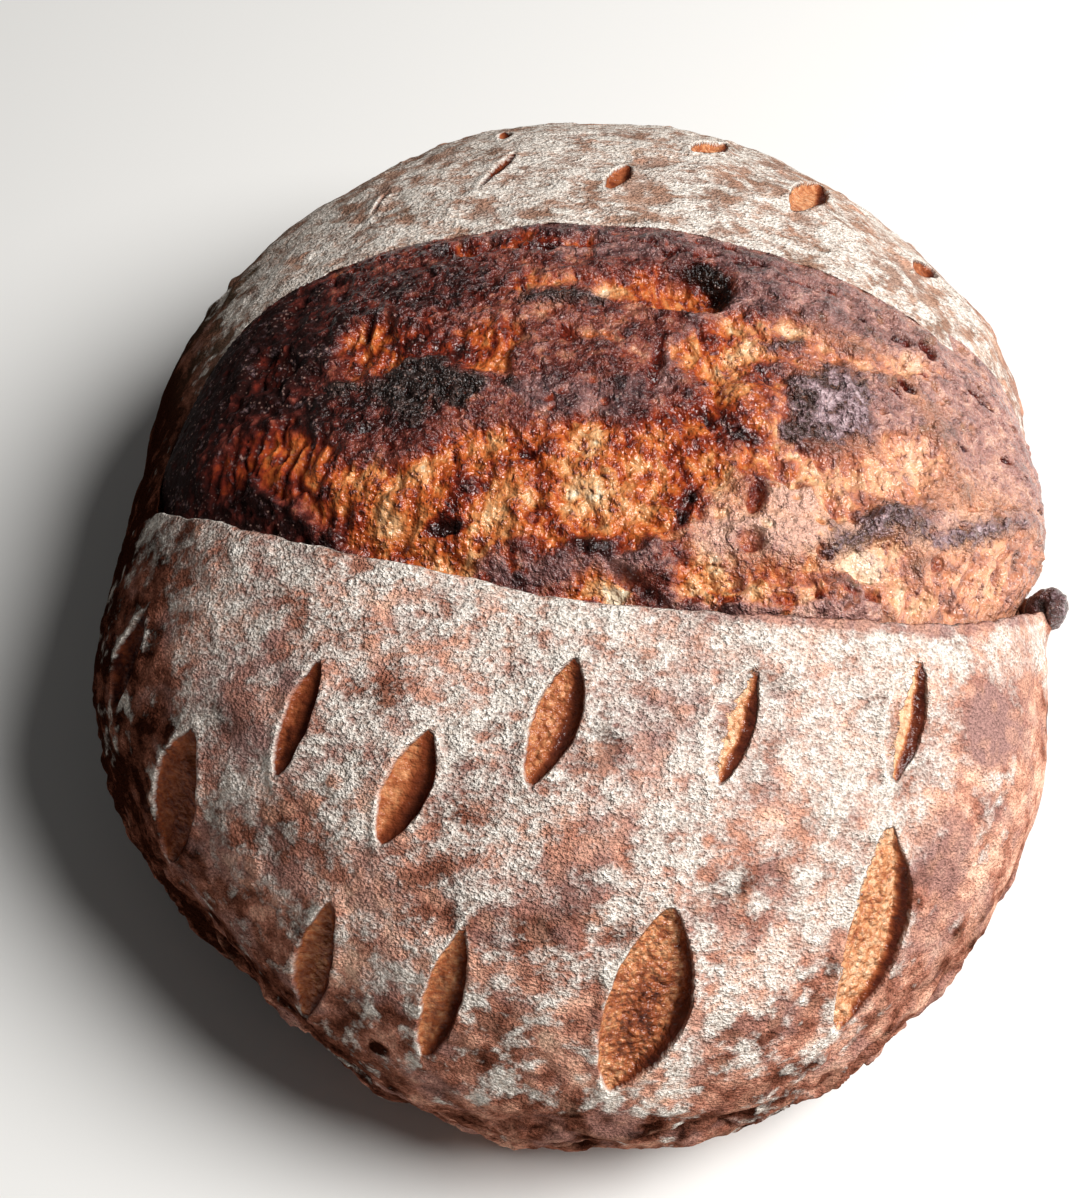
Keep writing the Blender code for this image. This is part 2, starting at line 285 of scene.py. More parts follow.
# For points on the dome, the nearest leaf's distance (negative inside) and its other fields.
# A leaf's half width is its width times (1 - a^2)^0.85 at share a of its half length.
def leafField(points):
    distance = np.full(points.shape[:-1], 30.0)
    fields = {}
    away = np.zeros(points.shape)
    for ua, wa, ub, wb, width, deep, belly, tone, shadeWidth, bubbly, merging in leafCuts:
        middle = np.array([(ua + ub) / 2, (wa + wb) / 2])
        ends = domeAt(np.array([[ua, wa], [ub, wb]]))
        up = outwardAt(middle)
        along = ends[1] - ends[0]
        halfLong = np.linalg.norm(along) / 2
        along = along / np.linalg.norm(along)
        side = np.cross(along, up)
        side = side * (1 if side[0] > 0 else -1)
        offset = points - domeAt(middle)
        a = offset @ along / halfLong
        y = offset @ side - belly * (1 - a * a).clip(0)
        half = width / 2 * (1 - a * a).clip(1e-6) ** 0.85
        beyond = (np.abs(a) - 1).clip(0) * halfLong
        slope = 1 / np.sqrt(1 + (1.7 * width / 2 * a / halfLong) ** 2)
        edge = np.where(beyond > 0, np.hypot(beyond, y), (np.abs(y) - half) * slope)
        edge = np.where(np.abs(offset @ up) < 22, edge, 30)
        here = {
            "across": np.clip(y / (half + 0.4), -1.5, 1.5),
            "depth": deep * np.minimum(1, half / (width / 2)) ** 0.7,
            "bank": 1 - smooth((half - y) * slope, 0, 2.2),  # the steep side, from 0 to 1
            # how far inside the painted shade of the steep right wall
            "wall": shadeWidth * (half / (width / 2)) ** 0.7 - (half - y) * slope,
            "tone": tone,
            "wallShadeTone": 0.94 - 0.05 * shadeWidth,
            "bubbly": bubbly,
            "merging": merging,
        }
        closer = edge < distance
        distance = np.where(closer, edge, distance)
        fields = {key: np.where(closer, value, fields.get(key, 0)) for key, value in here.items()}
        away = np.where(closer[..., None], side * np.sign(y)[..., None], away)
    return distance, fields, away


crust = {
    "flour": 0.47,  # how thick the flour lies, before its streaks and marks
    "toast": 0.44,  # how brown the skin is baked, from 0 to 1
    "edgeRows": 20,  # round the flap's edge
    "rows": 276,  # from the lip to the foot
    "bumps": ((11, 0.55), (5, 0.3), (2.4, 0.16)),  # size and height of the crust's lumps
    "blisterSize": 8,
    "blisterHeight": 0.4,
    "rimHeight": 0.5,  # the crust's raised rim round a leaf cut
    "sharpness": 0.9,  # how near a leaf's edge the mesh lines are drawn to it
    "cragSize": 8,  # lumps of the rough rim above the foot
    "cragHeight": 2,
    "foldStep": 7,  # spacing of the folds in that rim
    "foldHeight": 1.2,
    "earAt": (0.76, -0.18),  # the burnt ear, where the front lip curls out
    "earPull": (4, -1, 2),
    "earReach": 5,
}


# Points of the crust and its fields on a grid of rows out from the lip and turns round the score.
# A crust point is the dome plus, along its outward direction, the dough's swell, the lip's lift,
# lumps, blisters and the leaf cuts.
def crustGrid(turns):
    edge = curveThrough(score["flapEdge"], np.linspace(0, 1, crust["edgeRows"] + 1)[:-1])
    shares = (np.arange(crust["rows"] + 1) / crust["rows"]) ** 1.05
    lip = lipAt(turns)
    bearing = math.pi * (1 + turns)
    foot = dough["foot"] * np.stack([np.cos(bearing), np.sin(bearing)], axis=-1)
    t = np.r_[np.zeros(len(edge)), shares][:, None, None]
    chart = lip + (foot - lip) * t
    u, w = chart[..., 0], chart[..., 1]
    points = domeAt(chart)
    up = outwardAt(chart)
    v = np.hypot(u, w)
    flat = np.clip((dough["foot"] - v) / 0.12, 0, 1)  # no relief where the loaf stands

    # the way from the lip towards the opening, square to the lip
    lipPoint = domeAt(lip)
    alongLip = domeAt(lipAt(turns + 0.012)) - domeAt(lipAt(turns - 0.012))
    inward = np.cross(alongLip, outwardAt(lip))
    inward = -inward / np.linalg.norm(inward, axis=-1, keepdims=True)

    fromLip = np.linalg.norm(points - lipPoint, axis=-1)
    lift = alongLips(turns, score["lift"]) * bell(fromLip, 0, score["liftReach"])
    torn = roughNoise(lipPoint, 6, 3, 31) * score["wobble"] * (1 + 0.8 * smooth(lip[..., 0], 0.25, 0.5))
    flap = alongLips(turns, score["flapDepth"])
    edgeIn = np.r_[edge[:, 0], np.zeros(len(shares))][:, None] * flap + torn * bell(fromLip, 0, 3)
    edgeDown = np.r_[edge[:, 1], np.zeros(len(shares))][:, None] * flap

    distance, leaf, away = leafField(points)
    across = leaf["across"]
    distance += 0.4 * softNoise(points / 4.5, 33) + 0.15 * softNoise(points / 1.9, 34)
    drawn = distance * crust["sharpness"] * bell(distance, 0, 0.9)
    distance -= drawn
    inCut = smooth(-distance, 0, 0.5)
    slope = smooth(across, -1.05, -0.2) * (1 - leaf["bank"])
    rim = bell(distance, 0.5, 1.1) * (1 - inCut)

    lumps = lumpsOf(points, crust["bumps"], 41)
    first, share = cellNoise(points / crust["blisterSize"], 51)
    blistery = roughNoise(points, 40, 2, 53) + 0.15 * smooth(u, 0.2, 0.5)
    blister = smooth(0.36 * share - first, -0.02, 0.14) * smooth(blistery, -0.35, 0.2)
    crumbly = roughNoise(points, 2.2, 3, 55) * 0.4

    # the rim above the foot: crags and folds that run round the loaf
    craggy = smooth(v + 0.05 * softNoise(points / 30, 58), 0.86, 1.02)
    around = np.stack([bearing * 100 + 0 * v, v * 110, 0 * v], axis=-1)
    around += 2.5 * np.stack([softNoise(around / 7, 70 + k) for k in range(3)], axis=-1)
    chunk, pick = cellNoise(around / np.array([1.5, 0.9, 1]) / crust["cragSize"], 72)
    crag = 0.9 - 1.7 * chunk + 0.5 * pick + 0.35 * roughNoise(points, 5, 3, 57)
    fold = (v * 115 + 5 * roughNoise(points, 22, 3, 59)) / crust["foldStep"]
    fold = (fold % 1) ** 2 * crust["foldHeight"] * smooth(roughNoise(points, 34, 2, 60), -0.25, 0.25)
    rimRelief = craggy * (crag * crust["cragHeight"] + fold - 1.4)
    # the loaf bellies out at the front and the back, and less at the front's sides
    frontBelly = 2.6 * bell(u, 0.03, 0.3) - 1.3 * bell(np.abs(u), 0.62, 0.2)
    backBelly = 2.2 * bell(u, 0.62, 0.25) + 2.8 * bell(u, 0, 0.35)
    belly = smooth(v, 0.8, 1) * (w < 0) * frontBelly + smooth(v, 0.6, 0.95) * (w > 0) * backBelly

    height = swellAt(chart) + lift + edgeDown + flat * (rimRelief + belly)
    lumps += blister * crust["blisterHeight"] + rim * crust["rimHeight"]
    height += flat * (1 - inCut) * lumps
    sunk = leaf["depth"] * (0.25 * (1 - leaf["merging"]) + 0.75 * slope)
    sunk = sunk - 0.7 * bell(across, -0.1, 0.5) + 0.5 * roughNoise(points, 5, 3, 36)  # its floor bulges
    height = height - flat * inCut * (sunk - crumbly * leaf["bubbly"] * (1 - leaf["bank"]))

    near = np.linalg.norm(points - domeAt(np.array(crust["earAt"])), axis=-1)
    pull = bell(near, 0, crust["earReach"])[..., None] * np.array(crust["earPull"])
    place = points + up * height[..., None] + inward * edgeIn[..., None] - away * drawn[..., None] + pull
    place[..., 2] = np.where(v >= dough["foot"], 0, place[..., 2].clip(0))

    # fields for the finish; streaks of flour run out from the crown
    outer = smooth(v, 0.5, 0.8)  # past the score's ends the front and the back crust blend
    behind = w + 0.1 * u + 0.2 * outer * roughNoise(points, 22, 3, 68)
    isBack = smooth(behind, -0.3 * outer, 0.12 + 0.5 * outer)
    isFront = 1 - isBack
    streaky = np.stack([bearing * 70 + 14 * v, v * 46, 0 * v + 7], axis=-1)
    mottle = 0.3 * roughNoise(points, 26, 2, 61) + 0.5 * roughNoise(streaky, 11, 4, 63)
    mottle += 0.5 * roughNoise(points, 7, 3, 62)
    thin = np.maximum(isBack, 1.3 * smooth(v, 0.55, 0.8))  # where the flour lies in sharper patches
    mottle += (0.15 + 0.45 * thin) * roughNoise(points, 3.6, 2, 64)
    patchy = (1 - 0.35 * smooth(-u, 0.15, 0.5)) * (1 - 0.4 * smooth(u - 0.4 * (v - 0.5), 0, 0.3) * isFront)
    flour = crust["flour"] + 0.1 * isBack + mottle * (0.95 + 0.3 * thin) * patchy
    flour += 0.3 * bell(fromLip, 0, 11) * smooth(u, -0.75, -0.3)
    # less flour on the right front; the thinner flour on the left side is partly painted shade, as that side
    # is turned from the light
    flour = flour - 0.4 * smooth(u, 0.25, 0.6) * isFront - 0.6 * smooth(-u, 0.4, 0.75)
    flour = flour - 0.3 * smooth(v, 0.66, 0.86) - 0.7 * smooth(v, 0.86, 0.97) + 0.25 * fold * craggy
    leftRim = smooth(-across, -0.9, 0.9)
    flour += bell(distance, 0.3, 1.5) * (0.1 + 0.35 * leftRim + 0.3 * mottle) * smooth(v, 0.98, 0.85)
    flour = marked(flour, u, w, skinMarks["flour"], 1.2, 0.5, mottle * 0.5)
    flour = np.minimum(flour, 0.7 + 0.2 * (flour - 0.7))
    flour = np.where(np.arange(len(t))[:, None] < len(edge) - 3, -0.5, flour)
    bare = 0.8 * smooth(2.6 - fromLip + 2 * torn, 0, 1.6) * smooth(u, 0, 0.16) * isFront
    flour = flour - 0.8 * bare - 0.22 * bell(np.hypot(u + 0.48, w + 0.26), 0, 0.16)
    toast = crust["toast"] + roughNoise(points, 17, 4, 65) * 0.27 + 0.24 * smooth(v, 0.8, 1)
    toast += (0.1 + 0.25 * smooth(v, 0.5, 0.8)) * roughNoise(points, 6, 3, 35)
    # darker skin on the left side and a little paler on the right: partly baked so, partly painted shade and
    # light, as the light falls from the right
    toast += 0.54 * smooth(-u, 0.3, 0.7) * (1 - 0.5 * smooth(-w, 0.3, 0.6))
    toast -= 0.1 * smooth(u, 0.25, 0.65)
    # the flap's edge is browner; round the foot's rim each chunk's toast differs at random, and the creases
    # between chunks are darker, which is painted shade
    toast += 0.35 * (edgeDown < 0) * (1 - 0.8 * isBack) + craggy * (0.25 * (0.5 - pick) - 0.15 * crag)
    toast = marked(toast, u, w, skinMarks["toast"], 1.2, 0.5, mottle * 0.4)
    peachy = smooth(roughNoise(points, 5, 2, 68), 0.05, 0.5) * smooth(u, -0.4, 0.1) * isFront
    spot = np.maximum(blister, 0.7 * peachy)
    for markU, markW, half in skinMarks["spot"]:
        oval = ovalShare(u, w, markU, markW, half, half * 0.9, 30)
        spot = np.maximum(spot, smooth(oval + 0.8 * softNoise(points / 2.4, 37), 1.3, 0.3))
    spot = spot * (1 - smooth(toast, 0.65, 0.95))
    burnt = bell(near, 0, 4) * smooth(8 - fromLip, 0, 5)
    tone = leaf["tone"] + 0.14 * roughNoise(points, 3.5, 2, 67)
    mauve = 0.55 * smooth(roughNoise(points, 11, 3, 66), -0.05, 0.4) + 0.7 * bare + 0.2 * isBack
    mauve = marked(mauve, u, w, skinMarks["mauve"], 1.2, 0.6, mottle * 0.4)
    tone = marked(tone, u, w, skinMarks["cut"], 1.2, 0.2)
    merging = leaf["merging"] * smooth(-across, -0.45, 0.25) * inCut
    fields = {
        "flour": flour - 1.5 * burnt - 0.3 * spot + 0.3 * leftRim * bell(distance, 0.15, 0.45),
        "toast": toast + 0.8 * burnt,
        "spot": spot,
        "cutEdge": distance * (1 - 0.85 * merging),
        "cutTone": tone,
        # painted shade on the leaf cuts' steep right walls, with a ragged edge
        "cutWallShade": leaf["wall"] + 0.4 * roughNoise(points, 4.5, 3, 69),
        "wallShadeTone": leaf["wallShadeTone"],
        "bubbly": leaf["bubbly"],
        "merging": merging,
        "mauve": mauve * (1 - smooth(toast, 0.55, 0.85)),
        "dull": 0.42 * isBack * smooth(u, -0.75, -0.35) * (1 - 0.6 * smooth(v, 0.65, 0.95)),
        "patchy": patchy,
    }
    return place, fields


# Places on the crust with more or less flour, toast or mauve, and darker places in the cuts:
# chart point, half length, half width, turn in degrees, change.
skinMarks = {
    "flour": (
        (0.66, -0.26, 0.17, 0.06, 10, 0.45), (0.5, -0.37, 0.085, 0.05, -15, -0.55),
        (0.47, -0.55, 0.075, 0.05, -35, -0.55), (0.2, -0.745, 0.06, 0.04, -20, -0.5),
        (-0.06, -0.575, 0.1, 0.035, 5, -0.5), (0, -0.47, 0.05, 0.03, -20, -0.35),
        (-0.07, -0.77, 0.16, 0.08, 0, -0.5), (-0.05, -1, 0.5, 0.12, 0, -0.3),
        (-0.24, -0.33, 0.2, 0.12, 0, -0.16), (-0.45, -0.72, 0.16, 0.1, -30, -0.2),
        (0.62, -0.62, 0.1, 0.07, -50, -0.4), (-0.66, -0.42, 0.05, 0.12, 0, -0.4),
        # the bare marks at (-0.75, 0.12) and (-0.64, 0.33) darken the back-left flank: partly painted shade
        (-0.6, -0.28, 0.14, 0.18, 0, -0.4), (-0.75, 0.12, 0.2, 0.32, 0, -1.1),
        (0.62, -0.42, 0.14, 0.22, 10, -0.1), (-0.64, 0.33, 0.1, 0.22, 40, -0.8),
        (-0.2, -0.56, 0.09, 0.04, 0, -0.35), (-0.4, -0.35, 0.05, 0.05, 0, -0.35),
        (0.15, -0.255, 0.45, 0.045, -7, 0.15), (0.25, -0.37, 0.06, 0.08, 0, 0.3),
        (-0.02, -0.4, 0.16, 0.16, 0, 0.14), (-0.07, -0.33, 0.03, 0.09, -15, 0.3),
        (0.25, -0.82, 0.16, 0.03, 5, 0.35), (0.55, -0.43, 0.08, 0.03, -10, 0.3),
        (-0.25, -0.48, 0.04, 0.1, -10, 0.25),
    ),
    "toast": (
        (0.45, -0.56, 0.06, 0.04, -35, 0.12), (0.2, -0.745, 0.06, 0.04, -20, 0.3),
        (-0.06, -0.575, 0.1, 0.035, 5, 0.06), (-0.28, -0.83, 0.016, 0.012, 30, 1),
        (-0.07, -0.77, 0.13, 0.07, 0, 0.12), (0.51, -0.47, 0.05, 0.025, 0, 0.3),
        (-0.45, -0.72, 0.16, 0.12, -30, 0.05), (0, -1.02, 0.4, 0.08, 0, 0.1),
        # the toasted marks on the back-left flank: partly painted shade
        (-0.75, 0.05, 0.16, 0.24, 0, 0.12), (-0.64, 0.33, 0.12, 0.24, 40, 0.1),
        (0.62, -0.5, 0.12, 0.2, 10, -0.12),
    ),
    "mauve": (
        (0.5, -0.37, 0.085, 0.05, -15, 0.7), (0.45, -0.53, 0.08, 0.05, -35, 0.7),
        (0.2, -0.745, 0.06, 0.04, -20, 0.4), (-0.4, -0.35, 0.12, 0.1, 0, 0.4),
        (0.05, -0.36, 0.09, 0.08, 0, 0.4),
    ),
    # pale orange blisters: chart point, half width
    "spot": (
        (-0.16, -0.555, 0.016), (-0.105, -0.575, 0.014), (0.015, -0.565, 0.02), (0, -0.48, 0.012),
        (-0.01, -0.795, 0.016), (-0.315, -0.68, 0.014), (-0.295, -0.755, 0.012), (0.055, -0.255, 0.012),
        (0.07, -0.405, 0.012), (0.05, -0.39, 0.01), (0.395, -0.495, 0.026), (0.27, -0.335, 0.012),
        (0.255, -0.28, 0.012), (0.195, -0.335, 0.014), (0.16, -0.625, 0.014), (0.42, -0.45, 0.02),
        (-0.22, -0.47, 0.012), (-0.34, -0.47, 0.014), (0.23, -0.44, 0.012), (0.3, -0.42, 0.012),
        (0.56, -0.56, 0.02), (0.6, -0.47, 0.02), (-0.36, -0.62, 0.012), (-0.03, -0.35, 0.01),
    ),
    "cut": (
        (0.065, -0.72, 0.1, 0.04, 80, 0.26), (0.34, -0.6, 0.08, 0.03, 80, 0.14),
    ),
}


# Places are in the loaf's plan, seen from above.
crumb = {
    "skinBake": 0.64,  # how dark the set skin and the torn crumb are baked, from 0 to 1
    "tornBake": 0.46,
    "columns": 440,  # along the score
    "rows": 220,  # across it
    "margin": (1.05, 1.2),  # how far it runs on under the crust, along and across
    "middle": (0.17, 0),
    "bulge": 3.6,
    "endBulge": 4.5,  # how far it swells out past the crust at the right end
    "frontStep": 4.4,
    "backStep": 0.15,
    "plateStep": 1.2,  # the set skin stands this far over the torn crumb
    "pockSize": 3,  # burst blisters all over the set skin
    "pockDepth": 0.7,
    "dimples": (2.2, 0.45),  # size and height of the blistered set skin
    "ragged": ((9, 3), (2.8, 1.3)),  # size and reach of the tears' uneven edges
    "fibre": (2, 13),  # width and length of the stretched strands
    # how the strands lean to the right going back: place along the score, lean
    "lean": ((-80, 0.35), (-40, 0.2), (0, 0), (20, -0.35), (40, -0.5), (55, -0.2), (70, 0), (95, 0.2)),
    "torn": [
        [(-80, -8), (-72, -2), (-62, -4), (-53, -9), (-46, -15), (-38, -17), (-31, -15), (-26, -9),
         (-20, -8), (-8, -9), (8, -10), (14, -6), (19, -1), (25, -3), (31, -9), (30, -26), (24, -25),
         (20, -31), (22, -37), (6, -36), (-10, -37), (-22, -37), (-24, -41), (-34, -41), (-42, -37),
         (-50, -31), (-58, -22), (-68, -14), (-76, -13)],
        [(31, -9), (36, -12), (44, -11), (52, -12), (60, -10), (64, -3), (69, 0), (75, -2), (77, -10),
         (72, -17), (62, -21), (57, -25), (50, -27), (44, -20), (36, -20), (30, -24)],
        [(20, 11), (24, 17), (31, 21), (40, 22.5), (47, 22), (52, 18), (60, 17), (66, 18), (72, 22),
         (76, 24), (78, 20), (72, 16), (66, 13), (58, 12), (50, 11), (46, 9), (40, 7), (34, 4), (27, 3),
         (23, 4), (20, 6)],
        [(-51, 20), (-49, 22), (-41, 24), (-39, 19), (-28, 14), (-20, 19), (-14, 20), (-12, 14), (-17, 8),
         (-18, 3), (-22, 4), (-27, 9), (-35, 8), (-39, 5), (-44, 5), (-50, 8)],
        [(-70, 8), (-68, 19), (-63, 20), (-60, 14), (-62, 7)],
        [(4, 29), (7, 34), (13, 35), (18, 36), (25, 35), (30, 30), (26, 24), (18, 24), (10, 27)],
        [(-16, 30), (-12, 32), (-4, 33), (2, 32), (2, 30), (-8, 29)],
        [(25, -10), (26, 1), (31, 5), (38, 6), (43, 3), (44, -5), (40, -11), (33, -13)],
        [(-31, 45), (-28, 49), (-18, 49.5), (-6, 49), (2, 48), (2, 45), (-6, 43.5), (-16, 44.5), (-24, 44)],
        [(49, -40), (56, -33), (63, -30), (67, -31), (70, -36), (75, -31), (80, -24), (88, -18), (95, -14),
         (97, -22), (90, -33), (82, -40), (72, -44), (64, -47), (63, -42), (56, -41)],
        [(19, -39), (26, -39), (31, -44), (34, -48), (28, -49), (21, -46), (18, -43)],
        [(-6, -41), (2, -41), (10, -45), (14, -48.5), (2, -48.5), (-6, -46.5)],
        [(30, -39), (40, -39), (48, -40), (52, -43), (44, -45), (34, -46)],
    ],
    # how far charred, how frayed, and the outline
    "char": [
        (0.85, 2.4, [(-52, 5), (-46, 4), (-40, 5), (-36, 9), (-30, 9.5), (-27, 7), (-22, 3), (-15, 1.5),
         (-15, -1), (-20, -1), (-24, -5), (-30, -3), (-33, -9), (-38, -5), (-40, 1), (-48, 2)]),
        (0.3, 4, [(43, 5), (50, 9.5), (57, 11), (61, 8), (61, 2), (59, -4), (53, -11), (46, -10), (41, -12),
         (43, -7), (45, -2), (44, 2)]),
        (0.6, 3, [(43, 5), (50, 9.5), (57, 11), (59, 10), (52, 6), (48, 4), (48, -3), (52, -7), (51, -11),
         (46, -10), (41, -12), (43, -7), (45, -2), (44, 2)]),
        (0.75, 1.2, [(-13, 28), (-6, 28.5), (5, 28), (6, 25), (3, 23.5), (-4, 24), (-13, 24)]),
        (0.5, 1.6, [(45, -37), (50, -31), (56, -27), (60, -23), (64, -22), (70, -23), (72, -27), (64, -28.5),
         (56, -31.5), (51, -36)]),
        (0.7, 1, [(38, 11), (40, 14), (47, 18), (49, 16.5), (42, 12)]),
        (0.42, 1.2, [(72, -26), (79, -20), (90, -13), (86, -19.5), (79, -26)]),
    ],
    # dark mahogany at the upper left end and below the first char plate: partly baked dark, partly painted
    # shade of the side turned from the light and of the plate's overhang
    "darkAndShaded": [
        [(-95, 15), (-80, 33), (-65, 41), (-45, 42), (-25, 40), (-15, 33), (-22, 24), (-35, 23), (-50, 23),
         (-54, 8), (-58, 2), (-75, 4), (-95, -12)],
        [(-60, 3), (-40, 5), (-32, -4), (-32, -13), (-40, -13), (-50, -6), (-58, -3)],
    ],
    # mauve-grey bloom on the set skin; the small patch round (42, -25) is painted sheen
    "bloomAndSheen": [
        [(28, 21), (34, 32), (30, 40), (18, 40), (0, 41), (-20, 43), (-20, 52), (20, 48), (45, 46), (75, 32),
         (98, 18), (96, 4), (78, 8), (70, 14), (66, 20), (50, 22), (38, 23)],
        [(-15, -1), (-8, 2), (5, 0), (14, 2), (17, 10), (20, 16), (25, 20), (21, 9), (19, 1), (13, -6),
         (4, -9), (-8, -9)],
        [(22, -33), (28, -30), (40, -30), (50, -28), (60, -24), (70, -21), (80, -18), (94, -7), (96, -9),
         (84, -22), (74, -27), (66, -29), (60, -28), (50, -36), (40, -38), (28, -38)],
        [(52, 11), (62, 11), (68, 8), (72, 2), (70, -4), (62, -8), (56, -4), (54, 4)],
        [(35, -22), (40, -20), (46, -21), (48, -27), (42, -30), (36, -29)],
        [(17, -47.5), (30, -45), (42, -44.5), (50, -41.5), (58, -39), (62.5, -40.5), (62, -45), (52, -51),
         (40, -54), (20, -53)],
        [(-24, -39), (-12, -37.5), (2, -38.5), (10, -37), (20, -39), (16, -43), (6, -42), (-8, -43),
         (-22, -43)],
    ],
    # darker and brighter crumb: middle, half length, half width, turn, change of bake. The dark tints over
    # the pits and the dark rim at (42.5, -3), on the right of the big bubble under the char plate, are
    # painted shade; the pale patch at (42, -25) is painted sheen
    "tints": (
        (90, -20, 12, 9, 50, 0.1), (60, 33, 40, 9, -22, 0.1), (-60, -10, 9, 5, 80, -0.1),
        (-50, -18, 8, 5, 90, -0.14), (-42, -22, 8, 6, 80, -0.12), (-32, -20, 4, 3, 90, -0.28),
        (-20, -33, 6, 4, 20, -0.24), (-15, -25, 8, 5, 90, -0.14), (2, -18, 10, 6, 80, -0.18),
        (5, -27, 8, 5, 90, -0.14), (14, -14, 7, 5, 80, -0.12), (28, -17, 7, 4, 100, -0.14),
        (50, -19, 8, 6, 0, -0.2), (70, -8, 7, 4, 90, -0.16), (56, -36, 5, 3.5, 30, -0.34),
        (68, -42, 7, 4, 10, -0.26), (85, -30, 11, 8, 45, -0.12), (63, -32, 4, 3, 40, 0.1),
        (44, -33, 20, 7, 5, -0.34), (42, -25, 7, 4.5, 0, -0.36), (42, -34, 26, 10, 5, -0.18),
        (58, -35, 6, 3.5, 15, -0.3), (34, -29, 12, 7, 0, -0.14), (24, -34, 5, 4, 0, -0.2),
        (67, -32.5, 2.5, 4, 0, 0.3), (30, -22, 9, 5, 60, -0.16), (76, -22, 12, 5, 40, -0.2),
        (58, -14, 8, 6, 0, -0.1), (40, -46, 22, 3.5, 4, -0.16), (23, -44, 4, 3, 0, -0.26),
        (5, -45, 6, 2.5, -20, -0.3), (34, 14, 10, 6, 30, -0.16), (43, 20, 8, 3, 5, -0.18),
        (72, 20, 5, 3, 30, -0.36), (34, -3, 9, 9, 0, 0.1), (32, -1, 4, 4, 0, -0.22),
        (42.5, -3, 2, 6, 10, 0.34), (30, 14, 5, 3, 0, 0.3), (20, -20, 2.4, 9, 15, 0.22),
        (30, -12, 9, 2, 10, 0.3), (6, 30, 5, 3, 0, -0.2), (-8, 31, 8, 2.5, 10, -0.22),
        (-12, 47, 12, 2, 0, -0.14), (60, 14, 6, 3, 0, -0.14), (82, -10, 14, 14, 40, -0.1),
        (-28, -31, 3.5, 2, 0, 0.45), (-24, -24, 5, 2.5, 80, 0.2), (-11, -16, 2, 1.3, 0, 0.4),
        (28, -8, 8, 4, -40, 0.16), (20, -28, 5, 1.6, 80, 0.4), (-66, -22, 14, 5, -38, 0.12),
        (-46, 12, 4, 5, 0, 0.1), (-28, 13, 12, 8, 0, 0.2), (2, -37, 6, 2, 0, 0.3),
        (-6, 45.5, 4, 1.5, 0, 0.3), (-30, 46, 2, 3, 0, 0.4), (42, -43, 8, 3, 0, 0.12),
        (-14, 47, 18, 4, 0, 0.22),
    ),
    # smooth bubbles without strands: middle, half length, half width, turn
    "glassy": ((35, -3, 8, 8, 0), (12, 30.5, 10, 5, 0), (61, -33, 7, 4.5, 10), (5, 7, 5, 6, 0)),
    "hollow": ((26, 30.5, 7, 7.8, 0), (23, 30.3, 7, 6.6, 0)),  # the painted shadow crescent: two ovals, the first less the second
    # hollows: middle, half length, half width, turn, depth
    "pits": (
        (60, -34.5, 8, 4.2, 15, 2.4), (24, 30, 8.5, 7.5, 0, 5.5), (12, 30, 10, 5, 5, 2.6),
        (34.5, -25, 3.6, 1.6, 75, 2.6), (33, -35, 2.6, 2.4, 0, 2.2), (20.5, -27.5, 4.5, 1.1, 75, 1.8),
        (68.5, 11, 2.2, 1.7, 0, 1.8), (48, -35.5, 2.2, 1.4, 0, 1.8), (-28, -31, 3.2, 1.8, 10, 2),
        (-11, -16, 1.7, 1.1, 0, 1.4), (5, 46.5, 2.8, 1.1, 0, 1.4), (21, 43, 3.4, 1.4, 0, 1.3),
        (28, 42.6, 2.8, 1.4, 0, 1.6), (38, 41, 4.2, 1.3, -12, 1.5), (48, 35.5, 3.2, 1.5, 0, 1.3),
        (54.5, 35, 1.9, 1.2, 0, 0.9), (62, 28.7, 1.2, 0.9, 0, 0.9), (70, 25, 2.4, 1.3, 0, 1.2),
        (76, 25, 3, 1.8, 100, 1.3), (86, 19, 1.4, 1, 0, 1), (88, 16.5, 2, 0.8, -40, 0.9),
        (74, 17, 1.1, 0.8, 0, 0.9), (44, 28.5, 0.9, 0.8, 0, 0.8), (59, -42, 1.8, 1.2, 0, 1.3),
        (53, -43, 2, 0.8, 0, 1.2), (40.5, -46.2, 2, 1, 0, 1.2), (29, -46.8, 2.2, 0.7, 0, 1),
        (22, -46.6, 2.2, 0.8, 0, 1), (47, -44.8, 1, 0.7, 0, 0.8), (11, -44, 8.5, 1.3, -35, 2.4),
        (-30, 46, 1.6, 2.2, 0, 1.5), (-8, 45, 2.2, 1.2, 0, 1.3), (15.5, 7, 7, 1.3, 80, 0.9),
        (-3, 15, 1.6, 3, 10, 1.2), (72.5, -31.5, 1.8, 1.4, 40, 1.4), (90, 3, 1, 0.7, 0, 0.7),
        (81, 1, 0.9, 0.7, 0, 0.7), (58, -2, 1, 0.8, 0, 0.6), (66, 8, 1.8, 0.6, -40, 0.9),
        (97, -4, 1.2, 0.8, 0, 0.8),
    ),
    # swellings: middle, half length, half width, turn, height
    "swellings": (
        (36, -4, 8, 8, 0, 2.4), (8, 7, 8.5, 8.5, 0, 1.2), (-30, 4, 13, 7, -10, 1.4), (55, 2, 12, 9, 0, 1.2),
        (40, -33, 16, 4.5, 5, 1.8), (62, -26.5, 8, 3, 28, 2.6), (84, -17, 14, 3, 42, 1.2),
        (42, -25, 6.5, 4.5, 0, 1), (12, -40, 10, 3, -12, 1.2), (42, -46, 22, 4, 4, 4),
        (19, 8, 3, 10, 10, 0.9), (46, 31, 14, 8, -20, 1), (-17, 17, 2.2, 4, 0, 0.9),
        (5, 7, 1.5, 2.6, 0, 0.8), (9.5, 6, 1.4, 1.6, 0, 0.7), (6.5, 2, 1.6, 1.4, 0, 0.7),
        (-4, 25.5, 9, 2.4, 0, 0.9), (33, 6, 3, 2, 0, 0.8),
    ),
}


